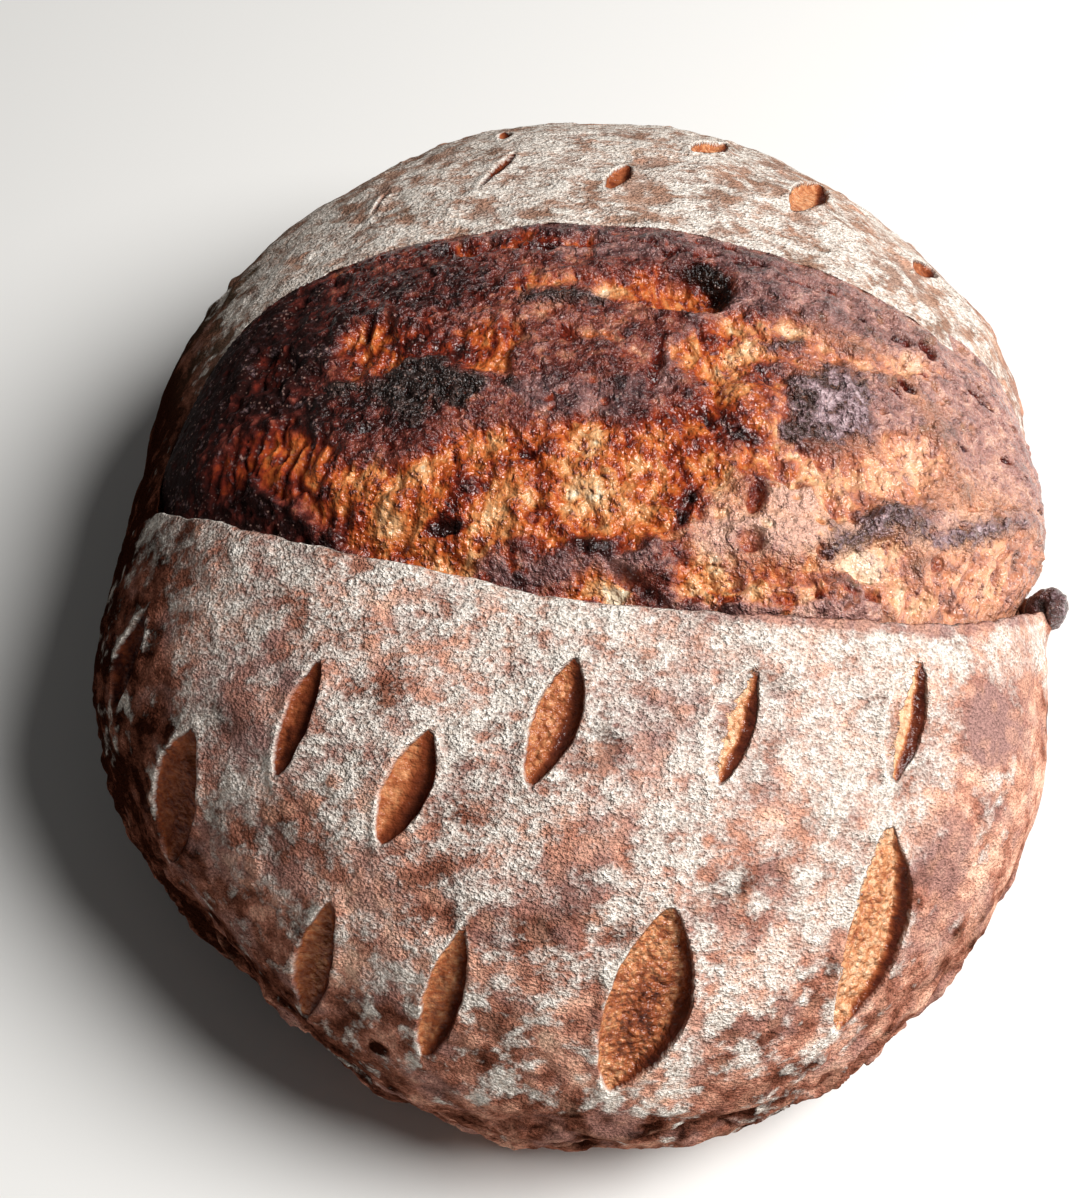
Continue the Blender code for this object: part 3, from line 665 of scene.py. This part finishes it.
# Points of the torn crumb and its fields, on a grid along and across the score. A point is the
# dome plus the bulge between the lips, the plates of set skin, strands, pores and hollows.
def crumbGrid():
    along = np.linspace(0.004, 0.996, crumb["columns"] + 1)
    middle, margin = np.array(crumb["middle"]), np.array(crumb["margin"])
    front = middle + (curveThrough(score["frontLip"], along) - middle) * margin
    back = middle + (curveThrough(score["backLip"], along) - middle) * margin
    b = np.linspace(0, 1, crumb["rows"] + 1)[None, :, None]
    chart = front[:, None] + (back - front)[:, None] * b
    points = domeAt(chart)
    up = outwardAt(chart)
    fromFront = lipDistance(points, score["frontLip"], 1)
    fromBack = lipDistance(points, score["backLip"], -1)
    width = (fromFront + fromBack).clip(4)
    across = np.clip(fromFront / width, 0, 1)
    opening = smooth(width, 4, 50)

    warp, warpToo = lumpsOf(points, crumb["ragged"], 71), lumpsOf(points, crumb["ragged"], 75)
    x, y = points[..., 0] + warp * 0.6, points[..., 1] + warpToo * 0.6
    plainX, plainY = points[..., 0], points[..., 1]

    # the torn floor lies lower than the plates of set skin
    frayed = roughNoise(points, 7, 4, 81)
    tornBy = insideAny(x, y, crumb["torn"]) + frayed * 3.2
    torn = smooth(tornBy, -2.2, 2)
    charMask = np.zeros(x.shape)
    charLevel = charMask + 0.6
    for level, fray, outline in crumb["char"]:
        deep = insideBy(x, y, outline) + frayed * fray
        charLevel += (level - charLevel) * smooth(deep + frayed * fray, -3, 3)
        charMask = np.maximum(charMask, smooth(deep, -2, 2.4))
    torn = torn * (1 - charMask)

    # strands stretched across the score; between them stretched bubbles, some burst into pores
    narrow, long = crumb["fibre"]
    leans = np.interp(plainX, *zip(*crumb["lean"]))
    slant = plainX - leans * (plainY + 20)
    slant += 2.2 * softNoise(points / 15, 83) + 0.9 * softNoise(points / 5, 84)
    lengthwise = plainY + 1.5 * softNoise(points / 6, 88)
    drawn = np.stack([slant, lengthwise, points[..., 2]], axis=-1)
    stretched = drawn / np.array([narrow, long, long])
    strand = 0.7 - 2.2 * np.abs(softNoise(stretched, 85)) + 0.5 * softNoise(stretched * 2.1, 86)
    first, share = cellNoise(drawn / np.array([4.5, 11, 11]), 87)
    bubble = smooth(0.6 * share - first, -0.05, 0.3) * (share > 0.5)
    membrane = bubble * smooth(share, 0.78, 0.86)
    firstFine, shareFine = cellNoise(drawn / np.array([2.4, 5, 5]), 90)
    pore = smooth(0.42 * shareFine - firstFine, -0.05, 0.2) * (shareFine > 0.7) * (1 - bubble)
    seam = bell(roughNoise(drawn / np.array([7, 15, 15]), 1, 3, 99), 0, 0.075)
    lumps = roughNoise(points, 5.5, 4, 89)
    broad = roughNoise(points, 14, 2, 96)
    pimple = smooth(softNoise(points / 1.4, 92), 0.05, 0.6)
    warped = points + 0.9 * np.stack([softNoise(points / 3.5, 103 + k) for k in range(3)], axis=-1)
    pockAt, pockShare = cellNoise(warped / crumb["pockSize"], 106)
    many = smooth(roughNoise(points, 16, 2, 107), -0.5, 0.4)
    pock = smooth(0.55 * pockShare - pockAt, -0.06, 0.16) * smooth(pockShare, 0.55, 0.75) * (0.2 + 0.8 * many)
    pockRim = bell(pockAt - 0.55 * pockShare, 0.1, 0.12) * smooth(pockShare, 0.42, 0.6)
    dimple = roughNoise(warped, crumb["dimples"][0], 2, 108)

    pits = np.zeros(points.shape[:-1])
    pitShade = pits.copy()
    for *oval, depth in crumb["pits"]:
        bowl = smooth(1.25 - ovalShare(plainX + warp * 0.15, plainY + warpToo * 0.15, *oval), 0, 0.5)
        pits = np.maximum(pits, depth * bowl)
        if oval[2] < 8:  # the small ones get painted shade, less of it at the front
            pitShade = np.maximum(pitShade, bowl * (0.55 if oval[1] < -20 else 0.9))
    rise = marked(0, x, y, crumb["swellings"], 1.15, 0.45)

    relief = torn * (0.7 * strand + 0.5 * bubble - 0.8 * pore + 1 * lumps - 0.8 * seam)
    skinRelief = 0.55 * lumps + 0.14 * pimple + crumb["dimples"][1] * dimple + 0.25 * pockRim
    relief += (1 - torn) * skinRelief
    relief = relief - (1 - torn) * (1 - charMask) * crumb["pockDepth"] * pock
    relief += 1.2 * charMask * roughNoise(points, 3.2, 3, 93) + 0.9 * broad
    relief = relief - crumb["plateStep"] * torn + 0.45 * bell(tornBy, -2, 1.6) * (1 - charMask)
    for oval in crumb["glassy"]:
        relief = relief * (1 - 0.8 * smooth(ovalShare(x, y, *oval), 1.2, 0.7))
    relief = relief * (1 - 0.6 * smooth(-plainX, 62, 85))
    calm = smooth(fromFront, -1, 5) * smooth(fromBack, -1, 4)
    height = crumb["bulge"] * np.sin(math.pi * across).clip(0) ** 0.8 * opening
    height = height - crumb["frontStep"] * (1 - smooth(fromFront, -1, 16)) * (0.4 + 0.6 * opening)
    height = height - crumb["backStep"] * (1 - smooth(fromBack, -1, 6)) - 0.8 * smooth(-fromBack, 0.2, 2.5)
    height += relief * (0.2 + 0.8 * calm) + (rise - pits) * smooth(fromFront, -4, -1) + swellAt(chart)
    height += crumb["endBulge"] * smooth(plainX, 80, 98) * smooth(fromFront, -1, 8)
    place = points + up * height[..., None]

    # fields for the finish
    # runs from -1 at the left end to 1 at the right; it paints the crumb darker to the left and paler to the
    # right, partly painted shade and light, as the light falls from the right
    side = smooth(plainX, 15, 85) - smooth(-plainX, 15, 70)
    # the set skin is painted paler on its pock rims and on the tops of its dimples: painted highlight
    plate = crumb["skinBake"] + 0.16 * lumps + 0.12 * broad - 0.1 * pimple - 0.14 * pockRim
    plate = plate - 0.2 * dimple * (1 - 0.7 * smooth(plainX, 15, 45))
    # the torn crumb paler on its strands and darker in pores and seams: partly its own tone, partly painted
    # light on the ridges and painted shade in the hollows
    crumbTone = crumb["tornBake"] - 0.12 * strand - 0.05 * bubble - 0.12 * membrane
    crumbTone += 0.16 * pore + 0.16 * seam + 0.14 * lumps + 0.18 * broad
    # darker still at the left end: partly painted shade
    bake = plate + torn * (crumbTone - plate) - 0.09 * side + 0.22 * smooth(-plainX, 40, 80)
    # darker inside those outlines: partly painted shade
    bake += 0.17 * smooth(insideAny(x, y, crumb["darkAndShaded"]) + 3 * frayed, -4, 4)
    bake = marked(bake, x, y, crumb["tints"], 1.3, 0.4)
    bake += (0.8 - bake).clip(0) * pitShade
    # painted shadow: a black crescent on the right inner wall of the big burst bubble's hollow, one oval less
    # another
    whole, less = (ovalShare(plainX, plainY, *oval) for oval in crumb["hollow"])
    hollow = smooth(whole, 1.1, 0.85) * smooth(less, 0.9, 1.15) * smooth(plainX, 21, 27)
    bloomAndSheen = smooth(insideAny(x, y, crumb["bloomAndSheen"]) + 2 * frayed, -3, 3) * (1 - torn)
    bloomAndSheen = np.maximum(bloomAndSheen, 0.75 * smooth(14 - fromBack, 0, 8) * (1 - torn) * smooth(plainX, -45, -5))
    bloomAndSheen = np.maximum(bloomAndSheen, 0.9 * smooth(plainX, 66, 84) * (1 - torn) * smooth(plainY, -14, 0))
    # mauve bloom over the torn crumb right of the middle: painted sheen
    bloomAndSheen = np.maximum(bloomAndSheen, 0.4 * torn * smooth(plainX, 22, 45))
    # painted sheen: mauve bloom on the dimple tops and pock rims of the set skin, standing in for glints
    ridgeSheen = (0.25 * dimple + 0.3 * pockRim) * (1 - torn) * smooth(plainX, -70, -20)
    ridgeSheen = ridgeSheen * (1 - 0.75 * smooth(plainX, 15, 45))
    bloomAndSheen = (bloomAndSheen + ridgeSheen) * (1 - pock)
    bake += 0.22 * pock * (1 - torn) * smooth(plainX, 10, 60)
    fields = {
        # the shadow crescent is painted near-black through bake, char and charLevel
        "bake": bake + 0.5 * hollow,
        "bloomAndSheen": bloomAndSheen * (1 - pitShade) * (1 - 0.8 * hollow),
        "char": np.maximum(charMask, hollow),
        "charLevel": np.where(hollow > 0.05, 0.95, charLevel),
        "paleness": side - pitShade * side.clip(0),
        "torn": np.maximum(torn, np.maximum(0.8 * pock, pitShade) * (1 - charMask)),
        "strandX": slant,
    }
    return place, fields


# A closed mesh from a grid of points: its quads, and a fan from its border to the heart, a point
# deep inside the loaf. spare columns at both sides only serve the normals at the seams.
def gridPiece(name, place, fields, heart, material, spare=0):
    alongRows, alongColumns = np.gradient(place, axis=0), np.gradient(place, axis=1)
    normals = np.cross(alongRows, alongColumns)
    normals /= np.linalg.norm(normals, axis=-1, keepdims=True) + 1e-12
    keep = slice(spare, place.shape[1] - spare)
    place, normals = place[:, keep], normals[:, keep]
    rows, columns = place.shape[:2]
    number = np.arange(rows * columns).reshape(rows, columns)
    quads = np.stack([number[:-1, :-1], number[1:, :-1], number[1:, 1:], number[:-1, 1:]], axis=-1)
    border = np.r_[number[0, :-1], number[:-1, -1], number[-1, :0:-1], number[:0:-1, 0]]
    fan = np.stack([border, np.roll(border, -1), np.full(len(border), rows * columns)], axis=-1)
    points = np.vstack([place.reshape(-1, 3), [heart]]) * mm
    corners = np.r_[quads.reshape(-1), fan.reshape(-1)]
    sizes = np.r_[np.full(quads.size // 4, 4), np.full(len(fan), 3)]
    mesh = bpy.data.meshes.new(name)
    mesh.vertices.add(len(points))
    mesh.vertices.foreach_set("co", points.reshape(-1).astype(np.float32))
    mesh.loops.add(len(corners))
    mesh.loops.foreach_set("vertex_index", corners.astype(np.int32))
    mesh.polygons.add(len(sizes))
    mesh.polygons.foreach_set("loop_start", np.r_[0, sizes.cumsum()[:-1]].astype(np.int32))
    mesh.update(calc_edges=True)
    mesh.shade_smooth()
    for key, values in fields.items():
        attribute = mesh.attributes.new(key, "FLOAT", "POINT")
        attribute.data.foreach_set("value", np.r_[values[:, keep].reshape(-1), 0].astype(np.float32))
    up = np.vstack([normals.reshape(-1, 3), [(0, 0, -1)]])
    mesh.normals_split_custom_set_from_vertices(up.tolist())
    mesh.materials.append(material)
    piece = bpy.data.objects.new(name, mesh)
    bpy.context.scene.collection.objects.link(piece)
    print(f"{name}: {len(sizes)} faces")
    return piece


# an sRGB hex colour as linear red, green, blue and alpha
def linear(hexColour):
    values = [int(hexColour[k : k + 2], 16) / 255 for k in (1, 3, 5)]
    return [v / 12.92 if v <= 0.04045 else ((v + 0.055) / 1.055) ** 2.4 for v in values] + [1]


# Fills inputs of a node. An input, named by its label or by _ and its number, takes a value, a hex
# colour, an output, a node, which stands for its first output in use, or the name of one of the
# material's own sources s.
def fill(s, node, **inputs):
    for key, value in inputs.items():
        socket = node.inputs[int(key[1:]) if key[0] == "_" else key.replace("_", " ")]
        if isinstance(value, str):
            value = linear(value) if value[0] == "#" else s[value]
        if isinstance(value, bpy.types.Node):
            value = next(output for output in value.outputs if output.enabled)
        if isinstance(value, bpy.types.NodeSocket):
            s["tree"].links.new(value, socket)
        else:
            socket.default_value = value


# Adds a node. Keywords in small letters are its settings, the others its inputs; stops are the
# (place, hex colour) pairs of a colour ramp.
def addNode(s, kind, stops=(), **given):
    node = s["tree"].nodes.new("ShaderNode" + kind)
    for key in [key for key in given if key[0].islower()]:
        setattr(node, key, given.pop(key))
    for k, (place, hexColour) in enumerate(stops):
        elements = node.color_ramp.elements
        element = elements[k] if k < 2 else elements.new(1)
        element.position = place
        element.color = linear(hexColour)
    fill(s, node, **given)
    return node


# a start value plus sources times their weights; keywords name the material's own sources
def weightedSum(s, start, *pairs, **weights):
    for source, weight in [*pairs, *weights.items()]:
        start = addNode(s, "Math", operation="MULTIPLY_ADD", _0=source, _1=weight, _2=start)
    return start


# noise texture scale whose lumps are about this many millimetres across
def grain(size):
    return 1 / (size * mm)


# A new material, its shader, and its sources: the number one, object coordinates, noises (name,
# size in millimetres, detail) stretched along X by a ratio, and named fields of the mesh.
def newMaterial(name, noises=(), fieldNames=(), stretch=1):
    material = bpy.data.materials.new(name)
    material.use_nodes = True
    tree = material.node_tree
    s = {"tree": tree, "one": 1}
    s["place"] = addNode(s, "TexCoord").outputs["Object"]
    drawn = addNode(s, "VectorMath", operation="MULTIPLY", _0="place", _1=(1 / stretch, 1, 1))
    for key, size, detail in noises:
        s[key] = addNode(s, "TexNoise", Vector=drawn, Scale=grain(size), Detail=detail, Roughness=0.6)
    for key in fieldNames:
        s[key] = addNode(s, "Attribute", attribute_name=key).outputs["Fac"]
    return material, tree.nodes["Principled BSDF"], s


crustTones = {
    # from pale to dark: places on the scale of toast, of the flour's grit and of the cuts' tone
    "skin": (
        (0, "#eebfa4"), (0.2, "#d49c84"), (0.42, "#aa705c"), (0.62, "#7f4d3c"), (0.8, "#64392b"),
        (0.92, "#4c281d"), (1, "#32170e"),
    ),
    "flour": ((0.3, "#c9bbad"), (0.62, "#f3eadf")),
    "cut": (
        (0, "#edbb92"), (0.22, "#cf8d60"), (0.46, "#a65d39"), (0.7, "#783a22"), (0.88, "#502419"),
        (1, "#34140f"),
    ),
    "mauve": "#a07a72",
    "dull": "#9a8871",  # the greyer skin at the back
    "spot": "#dca58a",  # blisters
}


# Sourdough crust dusted with flour, then baked: a dry, matt, grainy skin. Flour grains sit as
# pale specks on the brown crust, thick near the score and thin towards the foot, and the open
# leaf cuts show glossy golden crumb with a steep right wall painted dark as its shade.
def flouredCrust():
    material, shader, s = newMaterial(
        "flouredCrust",
        (("fine", 0.5, 1), ("grit", 1.1, 2), ("patch", 4.5, 4), ("stain", 7, 4)),
        ("flour", "toast", "spot", "cutEdge", "cutTone", "cutWallShade", "wallShadeTone", "bubbly", "merging",
         "mauve", "dull", "patchy"),
        stretch=1.4,
    )
    toast = weightedSum(s, "toast", stain=1.2, grit=0.5, patch=0.8, one=-1.25)
    skin = addNode(s, "ValToRGB", Fac=toast, stops=crustTones["skin"])
    s["spot"] = addNode(s, "Math", operation="MULTIPLY", _0="spot", _1=0.5)
    for key in ("mauve", "dull", "spot"):
        skin = addNode(s, "Mix", data_type="RGBA", _0=key, _6=skin, _7=crustTones[key])
    # flour: its density shifts the threshold of the clumps
    clumps = weightedSum(s, -2.45, fine=0.3, grit=1.2, patch=3.4)
    amount = weightedSum(s, "flour", (clumps, "patchy"))
    cover = addNode(s, "MapRange", interpolation_type="SMOOTHSTEP", Value=amount, _1=-0.12, _2=1.1, _4=0.94)
    flourTone = addNode(s, "ValToRGB", Fac="grit", stops=crustTones["flour"])
    dusted = addNode(s, "Mix", data_type="RGBA", _0=cover, _6=skin, _7=flourTone)
    # single grains lighten and darken the dusted crust alike
    grains = weightedSum(s, 1, fine=1.7, one=-0.85)
    dusted = addNode(s, "VectorMath", operation="SCALE", _0=dusted, Scale=grains)
    # the crumb inside a leaf cut: domes of small bubbles, and a smooth wall on its right side painted dark as
    # shade, darker deeper in
    bubbles = addNode(s, "TexVoronoi", feature="SMOOTH_F1", Vector="place", Scale=grain(1.5), Smoothness=0.4)
    bubbled = weightedSum(s, "cutTone", (bubbles, 0.35), grit=0.9, fine=0.4, one=-0.82)
    plainTone = weightedSum(s, "cutTone", grit=0.5, patch=0.5, one=-0.5)
    cutTone = addNode(s, "Mix", data_type="FLOAT", _0="bubbly", _2=plainTone, _3=bubbled)
    inWallShade = addNode(s, "MapRange", Value="cutWallShade", _1=-0.6, _2=0.6)
    deeperShade = addNode(s, "MapRange", Value="cutWallShade", _1=0.3, _2=3, _4=0.16)
    wallShadeTone = weightedSum(s, "wallShadeTone", (deeperShade, 1), patch=0.3, grit=0.3, one=-0.3)
    cutTone = addNode(s, "Mix", data_type="FLOAT", _0=inWallShade, _2=cutTone, _3=wallShadeTone)
    cut = addNode(s, "ValToRGB", Fac=cutTone, stops=crustTones["cut"])
    ragged = weightedSum(s, -2.6, grit=4, patch=3)  # flour lying in a merging leaf
    edge = weightedSum(s, "cutEdge", (ragged, "merging"))
    inCut = addNode(s, "MapRange", Value=edge, _1=-0.05, _2=-0.4)
    colour = addNode(s, "Mix", data_type="RGBA", _0=inCut, _6=dusted, _7=cut)
    matt = weightedSum(s, 0.78, (cover, 0.2), (inCut, -0.44))
    dry = weightedSum(s, 0.1, ("bubbly", 0.6), (inWallShade, -0.1))
    glaze = addNode(s, "Math", operation="MULTIPLY", _0=inCut, _1=dry)
    relief = weightedSum(s, 0, ("fine", 0.7), ("grit", 0.8), ("patch", 1), (cover, 0.08))
    cells = weightedSum(s, 0.4, (bubbles, -0.9), grit=0.9, fine=0.3)
    floorRelief = weightedSum(s, 0.3, grit=0.6, patch=0.5)
    bubbleRelief = addNode(s, "Mix", data_type="FLOAT", _0="bubbly", _2=floorRelief, _3=cells)
    bubbleRelief = addNode(s, "Mix", data_type="FLOAT", _0=inWallShade, _2=bubbleRelief, _3=floorRelief)
    both = addNode(s, "Mix", data_type="FLOAT", _0=inCut, _2=relief, _3=bubbleRelief)
    bump = addNode(s, "Bump", Height=both, Distance=1 * mm)
    fill(s, shader, Base_Color=colour, Roughness=matt, Normal=bump)
    # flour has no gloss, baked starch has
    fill(s, shader, Specular_IOR_Level=0, Coat_Weight=glaze, Coat_Roughness=0.15, Coat_Normal=bump)
    return material


crumbTones = {
    # from pale to dark: places on the scale of bake, and for char on its own level
    "torn": (
        (0, "#ecd6b4"), (0.12, "#e3ae7c"), (0.27, "#d18750"), (0.42, "#b95b27"), (0.56, "#943919"),
        (0.7, "#682013"), (0.84, "#3f120b"), (1, "#220906"),
    ),
    "skin": (
        (0.1, "#d9a384"), (0.35, "#b37358"), (0.55, "#854436"), (0.7, "#602820"), (0.85, "#3c130e"),
        (1, "#210906"),
    ),
    "bloomAndSheen": ((0.1, "#d8a894"), (0.35, "#a87a72"), (0.6, "#75524f"), (0.8, "#482b2a"), (1, "#221214")),
    "char": ((0.1, "#c9aeb0"), (0.35, "#94787b"), (0.6, "#503c37"), (0.85, "#2b1e1a"), (1, "#130c0a")),
    "litPeach": "#dfa987",  # the paler right side: partly its own colour, partly painted light
    "flourSpeckAndGlint": "#cfa596",  # grains of flour and painted glints on the dark skin
}


# Torn sourdough crumb, baked open to the heat: gelatinised starch, so glossy in small facets. It
# runs from cream through gold and orange to mahogany, with a greyish bloom on the set skin, partly
# painted sheen, and char on what stood highest.
def tornCrumb():
    material, shader, s = newMaterial(
        "tornCrumb",
        (("fine", 0.6, 2), ("grit", 1.5, 2), ("patch", 4.5, 3)),
        ("bake", "bloomAndSheen", "char", "charLevel", "paleness", "torn", "strandX"),
    )
    # strands: noise drawn out along the way the crumb tore
    axes = addNode(s, "SeparateXYZ", Vector="place")
    strandPlace = addNode(
        s, "CombineXYZ",
        X=addNode(s, "Math", operation="MULTIPLY", _0="strandX", _1=1 / 1.5),
        Y=addNode(s, "Math", operation="MULTIPLY", _0=axes.outputs["Y"], _1=grain(5)),
    )
    strands = addNode(s, "TexNoise", Vector=strandPlace, Scale=1, Detail=2, Roughness=0.6)
    spread = addNode(s, "Mix", data_type="FLOAT", _0="torn", _2="fine", _3=strands)
    bake = weightedSum(s, "bake", (spread, 0.15), grit=0.4, patch=0.8, one=-0.65)
    tornTone = addNode(s, "ValToRGB", Fac=bake, stops=crumbTones["torn"])
    skinTone = addNode(s, "ValToRGB", Fac=bake, stops=crumbTones["skin"])
    tone = addNode(s, "Mix", data_type="RGBA", _0="torn", _6=skinTone, _7=tornTone)
    # paler and peach towards the right: partly painted light
    litPeach = addNode(s, "MapRange", Value="paleness", _1=0.25, _2=1, _4=0.42)
    tone = addNode(s, "Mix", data_type="RGBA", _0=litPeach, _6=tone, _7=crumbTones["litPeach"])
    paler = weightedSum(s, bake, paleness=-0.2)
    bloomTone = addNode(s, "ValToRGB", Fac=paler, stops=crumbTones["bloomAndSheen"])
    bloomAndSheen = weightedSum(s, "bloomAndSheen", grit=0.9, patch=0.8, one=-0.85)
    bloomAndSheen = addNode(s, "MapRange", Value=bloomAndSheen, _1=0.1, _2=0.9, _4=0.85)
    bloomed = addNode(s, "Mix", data_type="RGBA", _0=bloomAndSheen, _6=tone, _7=bloomTone)
    charLevel = weightedSum(s, "charLevel", grit=-1, patch=-0.8, one=0.9)
    charTone = addNode(s, "ValToRGB", Fac=charLevel, stops=crumbTones["char"])
    charred = weightedSum(s, "char", grit=1.4, patch=0.8, one=-1.1)
    charred = addNode(s, "MapRange", Value=charred, _1=0.1, _2=0.9)
    colour = addNode(s, "Mix", data_type="RGBA", _0=charred, _6=bloomed, _7=charTone)
    # tiny pale specks on the dark skin: partly grains of flour, partly painted glints
    dots = addNode(s, "TexVoronoi", Vector="place", Scale=grain(1.1))
    few = weightedSum(s, dots, patch=-0.9, grit=-0.5, one=0.72)
    flourSpeckAndGlint = addNode(s, "MapRange", Value=few, _1=0.26, _2=0.06, _4=0.35)
    colour = addNode(s, "Mix", data_type="RGBA", _0=flourSpeckAndGlint, _6=colour, _7=crumbTones["flourSpeckAndGlint"])
    shade = weightedSum(s, 1, ("fine", 0.6), (spread, 0.8), grit=0.4, one=-0.9)
    colour = addNode(s, "VectorMath", operation="SCALE", _0=colour, Scale=shade)
    far = addNode(s, "MapRange", Value="paleness", _1=-0.6, _2=-1)  # the dull left end
    rough = weightedSum(s, 0.05, ("patch", 0.3), (bloomAndSheen, 0.1), (far, 0.9))
    glaze = weightedSum(s, 0.85, (far, -0.85), patch=-0.3)
    # the skin is blistered all over: domes a little over a millimetre across, each with its glint
    domes = addNode(s, "TexVoronoi", Vector="place", Scale=grain(1.7))
    relief = weightedSum(s, 0, ("fine", 0.1), (spread, 0.4), grit=0.5, patch=1.4)
    cinder = addNode(s, "Math", operation="MULTIPLY", _0=charred, _1="grit")
    relief = weightedSum(s, relief, (domes, -0.4), (cinder, 1.2))
    calm = weightedSum(s, 1, (far, -0.7))
    relief = addNode(s, "Math", operation="MULTIPLY", _0=relief, _1=calm)
    bump = addNode(s, "Bump", Height=relief, Distance=1.3 * mm)
    fill(s, shader, Base_Color=colour, Roughness=rough, Normal=bump)
    fill(s, shader, Specular_IOR_Level=0.15, Coat_Weight=glaze, Coat_Roughness=0.06, Coat_Normal=bump)
    return material


base = {"rings": 60, "around": 320, "bumps": ((16, 0.5), (3, 0.2))}


# the flat underside: rings from the foot to the middle, dented by the baking stone
def baseGrid():
    bearing = np.linspace(0, 2 * math.pi, base["around"] + 1)
    v = np.linspace(dough["foot"], 1.99, base["rings"] + 1)
    points = domeAt(v[:, None, None] * np.stack([np.cos(bearing), np.sin(bearing)], axis=-1))
    dents = lumpsOf(points, base["bumps"], 95) + sum(high for size, high in base["bumps"])
    points[..., 2] = dents * smooth(v, 1.36, 1.5)[:, None]
    toast = 0.7 + 0.3 * roughNoise(points, 20, 3, 97)
    flour = 0.2 + 0.5 * roughNoise(points, 14, 3, 98)
    one = np.ones(toast.shape)
    return points, {"toast": toast, "flour": flour, "cutEdge": 9 * one, "patchy": one}


ear = {"middle": (103, -25, 61), "radii": (4.8, 3.8, 6.4), "rings": 90, "around": 120, "foldDepth": 1.4}


# the burnt ear: an egg-shaped lobe of crust with a deep fold down its front, rough all over
def earGrid():
    across = np.linspace(2 * math.pi, 0, ear["around"] + 1)[None, :]
    down = np.linspace(0.02, math.pi - 0.02, ear["rings"] + 1)[:, None]
    ball = [np.sin(down) * np.cos(across), np.sin(down) * np.sin(across), np.cos(down) + 0 * across]
    ball = np.stack(ball, axis=-1)
    points = ball * np.array(ear["radii"])
    lump = 0.8 * roughNoise(points + 50, 4.5, 3, 101)
    fold = bell(points[..., 0] + 0.25 * points[..., 2] + 1.2, 0, 1.1) * smooth(-ball[..., 1], 0, 0.5)
    points += ball * (lump - ear["foldDepth"] * fold)[..., None] + np.array(ear["middle"])
    top = smooth(ball[..., 2] + 0.3 * ball[..., 0], -0.5, 0.7)
    # down its fold the ear is painted darker and charred as the shade of its curled hollow; the top is burnt
    fields = {
        "bake": 0.55 + 0.35 * fold + 0.2 * top,
        "bloomAndSheen": 0 * fold + 0.8,
        "char": 0.8 * np.maximum(top * smooth(ball[..., 0], -0.2, 0.6), fold),
        "charLevel": 0.5 + 0.2 * fold,
        "strandX": points[..., 0],
    }
    return points, fields


# the crust is cut where no leaf lies: name, its turns, columns of its grid, heart
sectors = (
    ("frontLeftCrust", 0, 0.56, 330, (-20, -45, 35)),
    ("frontRightCrust", 0.56, 1, 330, (30, -40, 35)),
    ("backRightCrust", 1, 1.62, 330, (25, 40, 35)),
    ("backLeftCrust", 1.62, 2, 250, (-40, 30, 35)),
)
crustMaterial, crumbMaterial = flouredCrust(), tornCrumb()
print("finishes made")
pieces = []
for name, start, stop, columns, heart in sectors:
    turns = start + (stop - start) * np.arange(-1, columns + 2) / columns
    pieces.append(gridPiece(name, *crustGrid(turns), heart, crustMaterial, spare=1))
pieces.append(gridPiece("tornCrumb", *crumbGrid(), (0, 0, 50), crumbMaterial))
pieces.append(gridPiece("base", *baseGrid(), (0, 0, 30), crustMaterial))
pieces.append(gridPiece("burntEar", *earGrid(), ear["middle"], crumbMaterial))
for piece in pieces:
    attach(piece, "root")
    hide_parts("loaf")

studio = {
    "elevation": 57,
    "distance": 457.6,
    "aim": (-8.6, -11.1, 44),
    "lens": 59.4,
    "keyFrom": (0.63, -0.1, 0.77),  # the soft key stands to the right
    "keyDistance": 1.1,
    "keySize": 0.7,
    "keyPower": 20.3,
    "world": 0.07,
    "floor": "#eceae6",
}


# stands an object at a place and turns its -Z towards the target
def pointAt(thing, place, target):
    thing.location = Vector(place)
    thing.rotation_euler = (Vector(target) - Vector(place)).to_track_quat("-Z", "Y").to_euler()


# a plain pale floor, one soft key light, a faint even light from all round, and the camera
def buildStudio():
    scene = bpy.context.scene
    floorMesh = bpy.data.meshes.new("floor")
    floorMesh.from_pydata([(-3, -3, 0), (3, -3, 0), (3, 3, 0), (-3, 3, 0)], [], [(0, 1, 2, 3)])
    floor = bpy.data.objects.new("floor", floorMesh)
    scene.collection.objects.link(floor)
    material, shader, s = newMaterial("paleFloor")
    fill(s, shader, Base_Color=studio["floor"], Roughness=0.9)
    floorMesh.materials.append(material)

    aim = np.array(studio["aim"]) * mm
    key = bpy.data.lights.new("key", "AREA")
    key.shape = "DISK"
    key.size = studio["keySize"]
    key.energy = studio["keyPower"]
    keyObject = bpy.data.objects.new("key", key)
    away = np.array(studio["keyFrom"]) / np.linalg.norm(studio["keyFrom"])
    pointAt(keyObject, aim + away * studio["keyDistance"], aim)
    scene.collection.objects.link(keyObject)

    world = bpy.data.worlds.new("studio")
    world.use_nodes = True
    background = world.node_tree.nodes["Background"]
    fill({}, background, Color="#ffffff", Strength=studio["world"])
    scene.world = world

    camera = bpy.data.objects.new("camera", bpy.data.cameras.new("camera"))
    camera.data.lens = studio["lens"]
    camera.data.sensor_width = 36
    camera.data.clip_start = 0.01
    tilt = math.radians(studio["elevation"])
    back = np.array([0, -math.cos(tilt), math.sin(tilt)])
    pointAt(camera, aim + back * studio["distance"] * mm, aim)
    scene.collection.objects.link(camera)
    scene.camera = camera
    scene.view_settings.view_transform = "Standard"


buildStudio()
if "Cube" in bpy.data.objects:
    bpy.data.objects.remove(bpy.data.objects["Cube"])
print("floor, light and camera set")

print("loaf ready")
